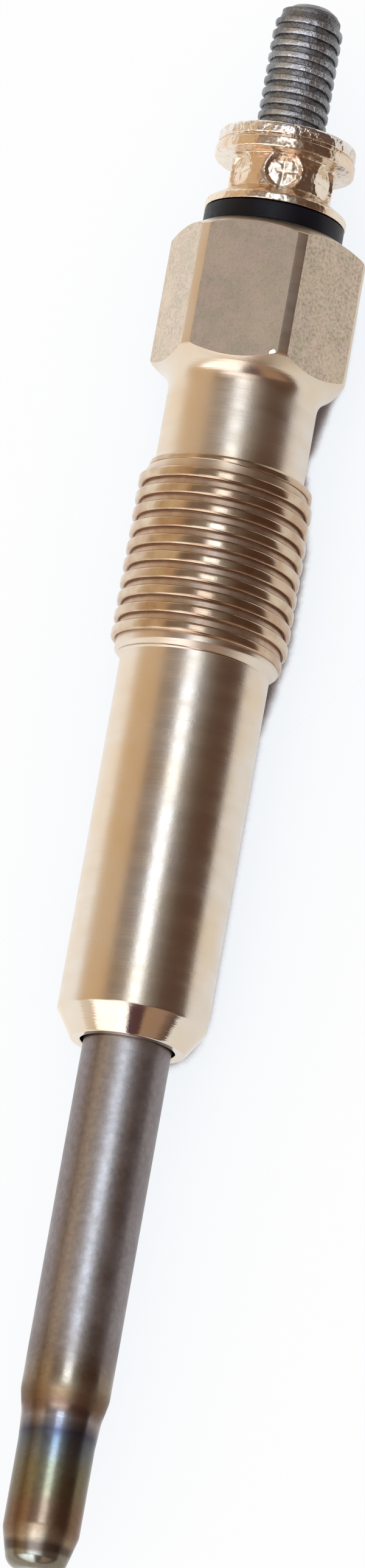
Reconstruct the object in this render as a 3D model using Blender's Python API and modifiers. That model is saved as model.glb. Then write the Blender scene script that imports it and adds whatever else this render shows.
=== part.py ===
"""Diesel glow plug with a sheathed heating element, lying with one flat of its hexagon down.

Metres, +Z up. The plug's axis lies along Y, with the heater tip towards -Y and the terminal stud
towards +Y. Each piece is modelled upright on its local Z, with the heater tip at height zero, and
one empty lays the whole plug down. The shell's thread is made as plain rings of its pitch, and
the stud's finer thread is a plain cylinder at its major diameter.
"""

import math

import bmesh
import bpy
from mathutils import Matrix, Vector

MM = 0.001

# Clearances
SEAT_CLEARANCE = 0.05 * MM  # between pieces that seat on, or fit inside, one another
CUT_MARGIN = 1.0 * MM  # how far a cutter runs past what it cuts

# Glow tube, with a slim closed tip
TUBE_DIAMETER = 5.0 * MM
TUBE_WALL = 0.6 * MM
TUBE_END_WALL = 1.0 * MM
TUBE_EXPOSED_LENGTH = 30.2 * MM
TUBE_SEATED_LENGTH = 17.8 * MM
TIP_DIAMETER = 4.3 * MM
TIP_LENGTH = 8.2 * MM
TIP_TAPER_LENGTH = 1.9 * MM
TIP_ROUND_HEIGHT = 2.0 * MM
TIP_ROUND_POWER = 2.3  # 2 is an ellipse, and more is squarer
TIP_ROUND_POINTS = 8

# Shell outside
SEAT_CONE_LENGTH = 1.55 * MM
END_FACE_WIDTH = 0.45 * MM
LOWER_STEM_LENGTH = 20.6 * MM
THREAD_DIAMETER = 9.97 * MM
THREAD_PITCH = 1.0 * MM
THREAD_DEPTH = 0.6 * MM
THREAD_CREST_WIDTH = 0.25 * MM
STEM_PASSING_GAP = 0.135 * MM  # lets the stem pass through the tapped hole
THREAD_LENGTH = 11.7 * MM
THREAD_CHAMFER_LENGTH = 0.7 * MM
UPPER_STEM_LENGTH = 4.8 * MM
HEX_ACROSS_FLATS = 10.0 * MM
HEX_LENGTH = 9.05 * MM
HEX_CORNER_TRIM = 0.17 * MM  # turned off each corner of the hexagon
HEX_LOWER_CONE_LENGTH = 1.0 * MM
HEX_UPPER_CONE_LENGTH = 0.85 * MM
HEX_LAND_MARGIN = 0.15 * MM  # how far the flat top reaches past the washer

# Shell inside
MOUTH_GAP = 0.3 * MM  # the open ring round the glow tube
MOUTH_DEPTH = 1.2 * MM
TUBE_HEADROOM = 1.0 * MM  # free bore above the glow tube
PASSING_GAP = 0.2 * MM  # lets the stud pass through the bore

# Washer and seals
WASHER_DIAMETER = 8.0 * MM
WASHER_THICKNESS = 1.05 * MM
SPIGOT_WALL = 0.5 * MM
SPIGOT_DEPTH = 1.2 * MM
TUBE_SEAL_WALL = 0.5 * MM
TUBE_SEAL_LENGTH = 2.6 * MM

# Contact collar
COLLAR_RIM_DIAMETER = 8.1 * MM
COLLAR_RIM_HEIGHT = 0.45 * MM
COLLAR_CONE_HEIGHT = 0.75 * MM
COLLAR_NECK_WALL = 0.9 * MM
COLLAR_NECK_HEIGHT = 2.05 * MM
FLANGE_DIAMETER = 8.0 * MM
FLANGE_HEIGHT = 1.45 * MM
FLANGE_EDGE = 0.25 * MM
CRIMP_COUNT = 6
CRIMP_WIDTH = 1.9 * MM
CRIMP_DEPTH = 0.45 * MM
CRIMP_TURN = math.radians(12.0)  # the first dent, from straight up towards +X

# Terminal pin
STUD_DIAMETER = 3.97 * MM
STUD_LENGTH = 7.95 * MM
STUD_CHAMFER = 0.53 * MM
STUD_START_MARGIN = 0.6 * MM  # from the washer's lower end up to the stud's full width
SHANK_DIAMETER = 3.5 * MM
SHANK_GAP = 2.0 * MM  # from the glow tube up to the wider shank
NOSE_GRIP_TURNS = 2  # turns of the regulating coil that hold the pin's nose
NOSE_SHOULDER_GAP = 0.5 * MM  # from the coil's last turn up to the wider rod

# Coils and the powder round them
WIRE_DIAMETER = 0.32 * MM
POWDER_COVER = 0.35 * MM  # powder between a coil and the tube
HEATING_LEAD_HEIGHT = 1.2 * MM
HEATING_LEAD_TURNS = 0.8
HEATING_TURNS = 7
HEATING_TOP_MARGIN = 0.4 * MM
REGULATING_LEAD_TURNS = 1
REGULATING_TURNS = 10
REGULATING_PITCH = 1.25 * MM
REGULATING_START_MARGIN = 0.4 * MM  # from the tip's taper up to the coil's full width
COIL_POINTS_PER_TURN = 10
WIRE_RESOLUTION = 2

# Facets
OUTER_STEPS = 48
INNER_STEPS = 32
SEAL_SECTION_POINTS = 8
CRIMP_SEGMENTS = 16
CRIMP_RINGS = 10
MERGE_DISTANCE = 0.001 * MM
SHARP_ANGLE = math.radians(25.0)

# Radii that follow from the sizes above
TUBE_RADIUS = TUBE_DIAMETER / 2
TUBE_BORE = TUBE_RADIUS - TUBE_WALL
TIP_RADIUS = TIP_DIAMETER / 2
TIP_BORE = TIP_RADIUS - TUBE_WALL
THREAD_RADIUS = THREAD_DIAMETER / 2
THREAD_ROOT_RADIUS = THREAD_RADIUS - THREAD_DEPTH
STEM_RADIUS = THREAD_ROOT_RADIUS - STEM_PASSING_GAP
HEX_FLAT_RADIUS = HEX_ACROSS_FLATS / 2
HEX_CORNER_RADIUS = HEX_ACROSS_FLATS / math.sqrt(3) - HEX_CORNER_TRIM
WASHER_RADIUS = WASHER_DIAMETER / 2
HEX_LAND_RADIUS = WASHER_RADIUS + HEX_LAND_MARGIN
STUD_RADIUS = STUD_DIAMETER / 2
SHANK_RADIUS = SHANK_DIAMETER / 2
ROD_RADIUS = TUBE_BORE - TUBE_SEAL_WALL - 2 * SEAT_CLEARANCE
SEAT_BORE = TUBE_RADIUS + SEAT_CLEARANCE
MOUTH_BORE = TUBE_RADIUS + MOUTH_GAP
PASSING_BORE = STUD_RADIUS + PASSING_GAP
STUD_HOLE = STUD_RADIUS + SEAT_CLEARANCE
SPIGOT_RADIUS = STUD_HOLE + SPIGOT_WALL
COUNTERBORE = SPIGOT_RADIUS + SEAT_CLEARANCE
NECK_RADIUS = STUD_HOLE + COLLAR_NECK_WALL
RIM_RADIUS = COLLAR_RIM_DIAMETER / 2
FLANGE_RADIUS = FLANGE_DIAMETER / 2
BODY_SEAL_SECTION = (COUNTERBORE - SHANK_RADIUS) / 2 - SEAT_CLEARANCE
WIRE_RADIUS = WIRE_DIAMETER / 2
HEATING_COIL_RADIUS = TIP_BORE - POWDER_COVER - WIRE_RADIUS
REGULATING_COIL_RADIUS = TUBE_BORE - POWDER_COVER - WIRE_RADIUS
COIL_CHORD_SHARE = math.cos(math.pi / COIL_POINTS_PER_TURN)  # a turn's chords lie this much closer in
NOSE_RADIUS = REGULATING_COIL_RADIUS * COIL_CHORD_SHARE - WIRE_RADIUS - SEAT_CLEARANCE

# Heights above the heater tip
TAPER_TOP = TIP_LENGTH + TIP_TAPER_LENGTH
SHELL_BOTTOM = TUBE_EXPOSED_LENGTH
TUBE_TOP = TUBE_EXPOSED_LENGTH + TUBE_SEATED_LENGTH
STEM_BOTTOM = SHELL_BOTTOM + SEAT_CONE_LENGTH
THREAD_BOTTOM = STEM_BOTTOM + LOWER_STEM_LENGTH
THREAD_TOP = THREAD_BOTTOM + THREAD_LENGTH
HEX_BOTTOM = THREAD_TOP + UPPER_STEM_LENGTH
HEX_TOP = HEX_BOTTOM + HEX_LENGTH
WASHER_BOTTOM = HEX_TOP + SEAT_CLEARANCE
WASHER_TOP = WASHER_BOTTOM + WASHER_THICKNESS
SPIGOT_BOTTOM = WASHER_BOTTOM - SPIGOT_DEPTH
BODY_SEAL_HEIGHT = SPIGOT_BOTTOM - SEAT_CLEARANCE - BODY_SEAL_SECTION
COUNTERBORE_FLOOR = BODY_SEAL_HEIGHT - BODY_SEAL_SECTION - SEAT_CLEARANCE
COLLAR_BOTTOM = WASHER_TOP + SEAT_CLEARANCE
RIM_TOP = COLLAR_BOTTOM + COLLAR_RIM_HEIGHT
NECK_BOTTOM = RIM_TOP + COLLAR_CONE_HEIGHT
FLANGE_BOTTOM = NECK_BOTTOM + COLLAR_NECK_HEIGHT
FLANGE_TOP = FLANGE_BOTTOM + FLANGE_HEIGHT
PLUG_LENGTH = FLANGE_TOP + STUD_LENGTH
HEATING_LEAD_BOTTOM = TUBE_END_WALL + SEAT_CLEARANCE
HEATING_BOTTOM = HEATING_LEAD_BOTTOM + HEATING_LEAD_HEIGHT
HEATING_TOP = TIP_LENGTH - HEATING_TOP_MARGIN
REGULATING_BOTTOM = TAPER_TOP + REGULATING_START_MARGIN
REGULATING_TOP = REGULATING_BOTTOM + REGULATING_TURNS * REGULATING_PITCH
NOSE_BOTTOM = REGULATING_TOP - NOSE_GRIP_TURNS * REGULATING_PITCH
ROD_BOTTOM = REGULATING_TOP + NOSE_SHOULDER_GAP
SHANK_BOTTOM = TUBE_TOP + SHANK_GAP
TUBE_SEAL_BOTTOM = TUBE_TOP - TUBE_SEAL_LENGTH
STUD_BOTTOM = SPIGOT_BOTTOM + STUD_START_MARGIN

# Places along the wire, in turns from the welded end at the tip
HEATING_START = HEATING_LEAD_TURNS
HEATING_END = HEATING_START + HEATING_TURNS
REGULATING_START = HEATING_END + REGULATING_LEAD_TURNS
REGULATING_END = REGULATING_START + REGULATING_TURNS

# The wider of the hexagon and the thread touches the floor, and so sets the axis's height
AXIS_HEIGHT = max(HEX_FLAT_RADIUS, THREAD_RADIUS)


def clear_scene():
    for obj in list(bpy.data.objects):
        bpy.data.objects.remove(obj, do_unlink=True)


def new_collection(name):
    collection = bpy.data.collections.new(name)
    bpy.context.scene.collection.children.link(collection)
    return collection


def new_axis(collection):
    """The empty that lays the plug down, with its heater tip towards -Y."""
    axis = bpy.data.objects.new("plug_axis", None)
    axis.location = (0.0, -PLUG_LENGTH / 2, AXIS_HEIGHT)
    axis.rotation_euler = (-math.pi / 2, 0.0, 0.0)
    collection.objects.link(axis)
    return axis


def new_material(name, colour, roughness, metallic):
    material = bpy.data.materials.new(name)
    material.use_nodes = True
    shader = material.node_tree.nodes["Principled BSDF"]
    shader.inputs["Base Color"].default_value = (*colour, 1.0)
    shader.inputs["Roughness"].default_value = roughness
    shader.inputs["Metallic"].default_value = metallic
    material.diffuse_color = (*colour, 1.0)
    return material


def place(name, data, collection, axis):
    """An object with this mesh or curve, laid down with the plug's axis."""
    obj = bpy.data.objects.new(name, data)
    obj.parent = axis
    collection.objects.link(obj)
    return obj


def place_cutter(name, mesh, cutters, axis):
    cutter = place(name, mesh, cutters, axis)
    cutter.hide_render = True
    cutter.display_type = "WIRE"
    return cutter


def turned(name, profile, steps, collection, axis):
    """A turned solid from (radius, height) points that run up its inside and down its outside.

    A profile that starts on the axis also ends there. Any other closes on itself, as a ring.
    """
    count = len(profile)
    edges = [(i, i + 1) for i in range(count - 1)]
    if profile[0][0] > 0:
        edges.append((count - 1, 0))
    mesh = bpy.data.meshes.new(name)
    mesh.from_pydata([(radius, 0.0, height) for radius, height in profile], edges, [])
    obj = place(name, mesh, collection, axis)
    screw = obj.modifiers.new("turn", "SCREW")
    screw.axis = "Z"
    screw.angle = math.tau
    screw.steps = steps
    screw.render_steps = steps
    screw.use_merge_vertices = True
    screw.merge_threshold = MERGE_DISTANCE
    return obj


def cut(obj, cutter):
    boolean = obj.modifiers.new(cutter.name, "BOOLEAN")
    boolean.operation = "DIFFERENCE"
    boolean.solver = "EXACT"
    boolean.object = cutter


def evaluated_mesh(obj):
    bpy.context.view_layer.update()
    graph = bpy.context.evaluated_depsgraph_get()
    return bpy.data.meshes.new_from_object(obj.evaluated_get(graph))


def finish(obj, material):
    """Applies the modifiers, shades round faces smooth and gives the piece its material."""
    mesh = evaluated_mesh(obj)
    obj.modifiers.clear()
    obj.data = mesh
    mesh.name = obj.name
    mesh.shade_smooth()
    mesh.set_sharp_from_angle(angle=SHARP_ANGLE)
    mesh.materials.clear()
    mesh.materials.append(material)


def wire_curve(name, points, radius, collection, axis):
    """A round wire with filled ends through the points."""
    curve = bpy.data.curves.new(name, "CURVE")
    curve.dimensions = "3D"
    curve.bevel_depth = radius
    curve.bevel_resolution = WIRE_RESOLUTION
    curve.use_fill_caps = True
    spline = curve.splines.new("POLY")
    spline.points.add(len(points) - 1)
    for spline_point, point in zip(spline.points, points):
        spline_point.co = (*point, 1.0)
    return place(name, curve, collection, axis)


def ease(share):
    """Goes from 0 to 1 with no slope at either end."""
    return share * share * (3 - 2 * share)


def mix(low, high, share):
    return low + (high - low) * share


def wire_point(turns):
    """The wire's centre line: a lead that opens from the axis, the heating coil, a wider lead
    and the regulating coil."""
    if turns < HEATING_START:
        share = turns / HEATING_LEAD_TURNS
        radius = HEATING_COIL_RADIUS * ease(share)
        height = mix(HEATING_LEAD_BOTTOM, HEATING_BOTTOM, share)
    elif turns < HEATING_END:
        share = (turns - HEATING_START) / HEATING_TURNS
        radius = HEATING_COIL_RADIUS
        height = mix(HEATING_BOTTOM, HEATING_TOP, share)
    elif turns < REGULATING_START:
        share = (turns - HEATING_END) / REGULATING_LEAD_TURNS
        radius = mix(HEATING_COIL_RADIUS, REGULATING_COIL_RADIUS, ease(share))
        height = mix(HEATING_TOP, REGULATING_BOTTOM, share)
    else:
        radius = REGULATING_COIL_RADIUS
        height = REGULATING_BOTTOM + (turns - REGULATING_START) * REGULATING_PITCH
    angle = math.tau * turns
    return Vector((radius * math.cos(angle), radius * math.sin(angle), height))


def wire_points(start, end):
    """Points of the wire's centre line between two places on it."""
    count = round((end - start) * COIL_POINTS_PER_TURN)
    return [wire_point(mix(start, end, i / count)) for i in range(count + 1)]


def round_end(radius, bottom, height):
    """Points of a closed tube's rounded end, from its full radius down towards the axis."""
    points = []
    for i in range(TIP_ROUND_POINTS):
        angle = math.pi / 2 * i / TIP_ROUND_POINTS
        across = math.cos(angle) ** (2 / TIP_ROUND_POWER)
        down = math.sin(angle) ** (2 / TIP_ROUND_POWER)
        points.append((radius * across, bottom + height * (1 - down)))
    return points


def bore_round_height(radius):
    """Height of the rounding inside the tip, in the same proportion as outside."""
    return TIP_ROUND_HEIGHT * radius / TIP_RADIUS


def add_glow_tube(collection, axis):
    """Closed-end tube: slim rounded tip, short taper, and an open top inside the shell."""
    profile = [(0.0, TUBE_END_WALL)]
    profile += reversed(round_end(TIP_BORE, TUBE_END_WALL, bore_round_height(TIP_BORE)))
    profile += [(TIP_BORE, TIP_LENGTH), (TUBE_BORE, TAPER_TOP), (TUBE_BORE, TUBE_TOP)]
    profile += [(TUBE_RADIUS, TUBE_TOP), (TUBE_RADIUS, TAPER_TOP), (TIP_RADIUS, TIP_LENGTH)]
    profile += round_end(TIP_RADIUS, 0.0, TIP_ROUND_HEIGHT)
    profile.append((0.0, 0.0))
    tube = turned("glow_tube", profile, INNER_STEPS, collection, axis)
    finish(tube, new_material("glow_tube", (0.20, 0.17, 0.15), 0.32, 1.0))


def flat_cutter_mesh():
    """A block that mills one flat of the hexagon, out along +X."""
    depth = HEX_CORNER_RADIUS - HEX_FLAT_RADIUS + CUT_MARGIN
    size = (depth, 2 * HEX_CORNER_RADIUS, HEX_LENGTH + 2 * CUT_MARGIN)
    middle = Vector((HEX_FLAT_RADIUS + depth / 2, 0.0, (HEX_BOTTOM + HEX_TOP) / 2))
    shape = bmesh.new()
    to_block = Matrix.Translation(middle) @ Matrix.Diagonal((*size, 1.0))
    bmesh.ops.create_cube(shape, size=1.0, matrix=to_block)
    mesh = bpy.data.meshes.new("hexagon_flat")
    shape.to_mesh(mesh)
    shape.free()
    return mesh


def thread_points():
    """The shell's thread as rings with grooves between them, from its top down. The grooves lie in
    the middle of the thread's length, as many as its full diameter has room for."""
    full_length = THREAD_LENGTH - 2 * THREAD_CHAMFER_LENGTH
    grooves = math.floor(full_length / THREAD_PITCH)
    middle = (THREAD_BOTTOM + THREAD_TOP) / 2
    half_mouth = (THREAD_PITCH - THREAD_CREST_WIDTH) / 2
    points = [(STEM_RADIUS, THREAD_TOP), (THREAD_RADIUS, THREAD_TOP - THREAD_CHAMFER_LENGTH)]
    for groove in range(grooves):
        height = middle + ((grooves - 1) / 2 - groove) * THREAD_PITCH
        points.append((THREAD_RADIUS, height + half_mouth))
        points.append((THREAD_ROOT_RADIUS, height))
        points.append((THREAD_RADIUS, height - half_mouth))
    points.append((THREAD_RADIUS, THREAD_BOTTOM + THREAD_CHAMFER_LENGTH))
    points.append((STEM_RADIUS, THREAD_BOTTOM))
    return points


def add_shell(collection, cutters, axis):
    """Shell: conical seat, stem, thread and a hexagon that is turned first and milled after."""
    headroom_top = TUBE_TOP + TUBE_HEADROOM
    profile = [
        (MOUTH_BORE, SHELL_BOTTOM),
        (MOUTH_BORE, SHELL_BOTTOM + MOUTH_DEPTH),
        (SEAT_BORE, SHELL_BOTTOM + MOUTH_DEPTH),
        (SEAT_BORE, headroom_top),
        (PASSING_BORE, headroom_top),
        (PASSING_BORE, COUNTERBORE_FLOOR),
        (COUNTERBORE, COUNTERBORE_FLOOR),
        (COUNTERBORE, HEX_TOP),
        (HEX_LAND_RADIUS, HEX_TOP),
        (HEX_CORNER_RADIUS, HEX_TOP - HEX_UPPER_CONE_LENGTH),
        (HEX_CORNER_RADIUS, HEX_BOTTOM + HEX_LOWER_CONE_LENGTH),
        (STEM_RADIUS, HEX_BOTTOM),
        *thread_points(),
        (STEM_RADIUS, STEM_BOTTOM),
        (MOUTH_BORE + END_FACE_WIDTH, SHELL_BOTTOM),
    ]
    shell = turned("shell", profile, OUTER_STEPS, collection, axis)
    block = flat_cutter_mesh()
    for flat in range(6):
        cutter = place_cutter(f"hexagon_flat_{flat + 1}", block, cutters, axis)
        cutter.rotation_euler.z = math.radians(30 + 60 * flat)
        cut(shell, cutter)
    finish(shell, new_material("shell", (0.62, 0.52, 0.41), 0.28, 1.0))


def add_heating_coil(collection, axis):
    """Coil in the slim tip; its lower end runs in to the axis, where the tube's end holds it."""
    points = wire_points(0, HEATING_END)
    coil = wire_curve("heating_coil", points, WIRE_RADIUS, collection, axis)
    coil.data.materials.append(new_material("heating_coil", (0.34, 0.33, 0.32), 0.45, 1.0))


def add_regulating_coil(collection, axis):
    """Wider coil that goes on from the heating coil, up to and round the pin's nose."""
    points = wire_points(HEATING_END, REGULATING_END)
    first_chord = points[1] - points[0]
    points[0] = points[0] + first_chord.normalized() * SEAT_CLEARANCE
    coil = wire_curve("regulating_coil", points, WIRE_RADIUS, collection, axis)
    coil.data.materials.append(new_material("regulating_coil", (0.46, 0.44, 0.42), 0.40, 1.0))


def wire_channel(cutters, axis):
    """The room that both coils need in the powder, out through its lower end, as a cutter."""
    points = wire_points(0, REGULATING_END)
    points.append(wire_point(REGULATING_END + 1 / COIL_POINTS_PER_TURN))
    points[0] = Vector((0.0, 0.0, HEATING_LEAD_BOTTOM - TUBE_END_WALL))
    radius = WIRE_RADIUS + SEAT_CLEARANCE
    curve = wire_curve("wire_channel_line", points, radius, cutters, axis)
    mesh = evaluated_mesh(curve)
    shape = bmesh.new()
    shape.from_mesh(mesh)
    bmesh.ops.remove_doubles(shape, verts=shape.verts, dist=MERGE_DISTANCE)
    shape.to_mesh(mesh)
    shape.free()
    cutter = place_cutter("wire_channel", mesh, cutters, axis)
    cutter.matrix_world = curve.matrix_world
    bpy.data.objects.remove(curve, do_unlink=True)
    return cutter


def add_filling_powder(collection, cutters, axis):
    """Pressed powder that fills the glow tube round the coils and the pin's lower end."""
    slim = TIP_BORE - SEAT_CLEARANCE
    wide = TUBE_BORE - SEAT_CLEARANCE
    nose_pocket = NOSE_RADIUS + SEAT_CLEARANCE
    rod_pocket = ROD_RADIUS + SEAT_CLEARANCE
    bottom = TUBE_END_WALL + SEAT_CLEARANCE
    shoulder = ROD_BOTTOM - SEAT_CLEARANCE
    top = TUBE_SEAL_BOTTOM - SEAT_CLEARANCE
    profile = [
        (0.0, NOSE_BOTTOM - SEAT_CLEARANCE),
        (nose_pocket, NOSE_BOTTOM - SEAT_CLEARANCE),
        (nose_pocket, shoulder),
        (rod_pocket, shoulder),
        (rod_pocket, top),
        (wide, top),
        (wide, TAPER_TOP),
        (slim, TIP_LENGTH),
    ]
    profile += round_end(slim, bottom, bore_round_height(slim))
    profile.append((0.0, bottom))
    powder = turned("filling_powder", profile, INNER_STEPS, collection, axis)
    cut(powder, wire_channel(cutters, axis))
    finish(powder, new_material("filling_powder", (0.80, 0.79, 0.76), 0.90, 0.0))


def add_tube_seal(collection, axis):
    """Elastic ring that closes the glow tube's open top round the pin."""
    hole = ROD_RADIUS + SEAT_CLEARANCE
    rim = TUBE_BORE - SEAT_CLEARANCE
    profile = [(hole, TUBE_SEAL_BOTTOM), (hole, TUBE_TOP), (rim, TUBE_TOP), (rim, TUBE_SEAL_BOTTOM)]
    seal = turned("tube_seal", profile, INNER_STEPS, collection, axis)
    finish(seal, new_material("tube_seal", (0.22, 0.06, 0.04), 0.70, 0.0))


def add_terminal_pin(collection, axis):
    """Pin from the regulating coil up to the terminal stud, in steps that grow wider."""
    profile = [
        (0.0, PLUG_LENGTH),
        (STUD_RADIUS - STUD_CHAMFER, PLUG_LENGTH),
        (STUD_RADIUS, PLUG_LENGTH - STUD_CHAMFER),
        (STUD_RADIUS, STUD_BOTTOM),
        (SHANK_RADIUS, STUD_BOTTOM),
        (SHANK_RADIUS, SHANK_BOTTOM),
        (ROD_RADIUS, SHANK_BOTTOM),
        (ROD_RADIUS, ROD_BOTTOM),
        (NOSE_RADIUS, ROD_BOTTOM),
        (NOSE_RADIUS, NOSE_BOTTOM),
        (0.0, NOSE_BOTTOM),
    ]
    pin = turned("terminal_pin", profile, INNER_STEPS, collection, axis)
    finish(pin, new_material("terminal_pin", (0.30, 0.29, 0.28), 0.35, 1.0))


def add_body_seal(collection, axis):
    """Ring of round section on the pin, at the bottom of the shell's counterbore."""
    middle = SHANK_RADIUS + SEAT_CLEARANCE + BODY_SEAL_SECTION
    profile = []
    for i in range(SEAL_SECTION_POINTS):
        angle = -math.tau * i / SEAL_SECTION_POINTS
        radius = middle + BODY_SEAL_SECTION * math.cos(angle)
        profile.append((radius, BODY_SEAL_HEIGHT + BODY_SEAL_SECTION * math.sin(angle)))
    seal = turned("body_seal", profile, INNER_STEPS, collection, axis)
    finish(seal, new_material("body_seal", (0.03, 0.03, 0.03), 0.60, 0.0))


def add_insulating_washer(collection, axis):
    """Washer with a spigot that keeps the pin clear of the shell."""
    profile = [
        (STUD_HOLE, SPIGOT_BOTTOM),
        (STUD_HOLE, WASHER_TOP),
        (WASHER_RADIUS, WASHER_TOP),
        (WASHER_RADIUS, WASHER_BOTTOM),
        (SPIGOT_RADIUS, WASHER_BOTTOM),
        (SPIGOT_RADIUS, SPIGOT_BOTTOM),
    ]
    washer = turned("insulating_washer", profile, INNER_STEPS, collection, axis)
    finish(washer, new_material("insulating_washer", (0.03, 0.03, 0.035), 0.50, 0.0))


def crimp_cutter_mesh():
    """A ball that presses one dent into the collar's neck, out along +X."""
    ball_radius = ((CRIMP_WIDTH / 2) ** 2 + CRIMP_DEPTH**2) / (2 * CRIMP_DEPTH)
    reach = NECK_RADIUS - CRIMP_DEPTH + ball_radius
    middle = Vector((reach, 0.0, (NECK_BOTTOM + FLANGE_BOTTOM) / 2))
    shape = bmesh.new()
    bmesh.ops.create_uvsphere(
        shape,
        u_segments=CRIMP_SEGMENTS,
        v_segments=CRIMP_RINGS,
        radius=ball_radius,
        matrix=Matrix.Translation(middle) @ Matrix.Rotation(math.pi / 2, 4, "Y"),
    )
    mesh = bpy.data.meshes.new("crimp_dent")
    shape.to_mesh(mesh)
    shape.free()
    return mesh


def add_contact_collar(collection, cutters, axis):
    """Flanged collar that is crimped onto the stud and takes the terminal."""
    profile = [
        (STUD_HOLE, COLLAR_BOTTOM),
        (STUD_HOLE, FLANGE_TOP),
        (FLANGE_RADIUS - FLANGE_EDGE, FLANGE_TOP),
        (FLANGE_RADIUS, FLANGE_TOP - FLANGE_EDGE),
        (FLANGE_RADIUS, FLANGE_BOTTOM),
        (NECK_RADIUS, FLANGE_BOTTOM),
        (NECK_RADIUS, NECK_BOTTOM),
        (RIM_RADIUS, RIM_TOP),
        (RIM_RADIUS, COLLAR_BOTTOM),
    ]
    collar = turned("contact_collar", profile, OUTER_STEPS, collection, axis)
    ball = crimp_cutter_mesh()
    for dent in range(CRIMP_COUNT):
        cutter = place_cutter(f"crimp_dent_{dent + 1}", ball, cutters, axis)
        cutter.rotation_euler.z = CRIMP_TURN - math.pi / 2 + math.tau * dent / CRIMP_COUNT
        cut(collar, cutter)
    finish(collar, new_material("contact_collar", (0.70, 0.52, 0.34), 0.25, 1.0))


def main():
    clear_scene()
    plug = new_collection("glow_plug")
    cutters = new_collection("glow_plug_cutters")
    axis = new_axis(plug)
    add_shell(plug, cutters, axis)
    add_glow_tube(plug, axis)
    add_heating_coil(plug, axis)
    add_regulating_coil(plug, axis)
    add_filling_powder(plug, cutters, axis)
    add_tube_seal(plug, axis)
    add_terminal_pin(plug, axis)
    add_body_seal(plug, axis)
    add_insulating_washer(plug, axis)
    add_contact_collar(plug, cutters, axis)


main()
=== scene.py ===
"""Looks of a diesel glow plug that lies with one flat of its hexagon down.

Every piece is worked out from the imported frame, in metres, with the plug's axis along Y and the
heater tip towards -Y. A station is a distance along the axis from the heater tip.
"""

import math

import bmesh
import bpy
from bpy.props import FloatProperty, FloatVectorProperty, IntProperty, PointerProperty
from mathutils import Matrix, Vector


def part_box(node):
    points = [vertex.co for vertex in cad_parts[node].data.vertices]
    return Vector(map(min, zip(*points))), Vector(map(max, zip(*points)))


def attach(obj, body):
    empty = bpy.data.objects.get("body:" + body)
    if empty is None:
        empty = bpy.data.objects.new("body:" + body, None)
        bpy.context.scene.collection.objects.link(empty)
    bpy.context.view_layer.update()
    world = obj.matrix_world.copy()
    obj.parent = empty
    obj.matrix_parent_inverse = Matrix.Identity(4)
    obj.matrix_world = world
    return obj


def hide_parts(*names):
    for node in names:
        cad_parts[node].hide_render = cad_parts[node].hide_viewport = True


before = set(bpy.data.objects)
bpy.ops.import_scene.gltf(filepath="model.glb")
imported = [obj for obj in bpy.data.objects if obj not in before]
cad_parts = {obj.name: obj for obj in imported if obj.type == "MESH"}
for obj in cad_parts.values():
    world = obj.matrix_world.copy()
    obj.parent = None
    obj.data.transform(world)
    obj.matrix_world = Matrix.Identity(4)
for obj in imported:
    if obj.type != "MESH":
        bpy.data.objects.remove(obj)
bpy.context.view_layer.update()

bl_info = {
    "name": "Glow plug",
    "version": (1, 0, 0),
    "blender": (4, 5, 0),
    "location": "View3D > Sidebar > Glow plug",
    "description": "Builds the looks of a diesel glow plug round its packed frame",
    "category": "Add Mesh",
}

MM = 0.001

# The frame's own places
TUBE_LOW, TUBE_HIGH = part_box("glow_tube")
SHELL_LOW, SHELL_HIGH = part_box("shell")
WASHER_LOW, WASHER_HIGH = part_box("insulating_washer")
COLLAR_LOW, COLLAR_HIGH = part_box("contact_collar")
PIN_LOW, PIN_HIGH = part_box("terminal_pin")
AXIS_HEIGHT = (TUBE_LOW.z + TUBE_HIGH.z) / 2
TIP_Y = TUBE_LOW.y
TUBE_TOP = TUBE_HIGH.y - TIP_Y
SHELL_BOTTOM = SHELL_LOW.y - TIP_Y
HEX_TOP = SHELL_HIGH.y - TIP_Y
HEX_FLAT_RADIUS = (SHELL_HIGH.z - SHELL_LOW.z) / 2
HEX_CORNER_RADIUS = (SHELL_HIGH.x - SHELL_LOW.x) / 2
SPIGOT_BOTTOM = WASHER_LOW.y - TIP_Y
WASHER_TOP = WASHER_HIGH.y - TIP_Y
WASHER_RADIUS = (WASHER_HIGH.x - WASHER_LOW.x) / 2
COLLAR_BOTTOM = COLLAR_LOW.y - TIP_Y
FLANGE_TOP = COLLAR_HIGH.y - TIP_Y
RIM_RADIUS = (COLLAR_HIGH.x - COLLAR_LOW.x) / 2
NOSE_BOTTOM = PIN_LOW.y - TIP_Y
STUD_TOP = PIN_HIGH.y - TIP_Y
STUD_RADIUS = (PIN_HIGH.x - PIN_LOW.x) / 2
TUBE_RADIUS = (TUBE_HIGH.x - TUBE_LOW.x) / 2

# Heater tube
TUBE_WALL = 0.6 * MM
TUBE_END_WALL = 1.0 * MM
TIP_RADIUS = 2.15 * MM
TIP_LENGTH = 8.2 * MM
TIP_TAPER_LENGTH = 1.9 * MM
TAPER_KNEE_RADIUS = 2.25 * MM  # where the taper turns gentle
TAPER_KNEE = 8.85 * MM
TAPER_EASE = 0.9 * MM
TIP_BEVEL_HEIGHT = 2.25 * MM  # from the tip's end up to where it starts to narrow
TIP_BEVEL_LEAN = math.radians(14.5)
TIP_ROUND_RADIUS = 0.85 * MM
TIP_ROUND_POINTS = 14
BORE_BEVEL_HEIGHT = 0.8 * MM
BORE_ROUND_RADIUS = 0.5 * MM

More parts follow.
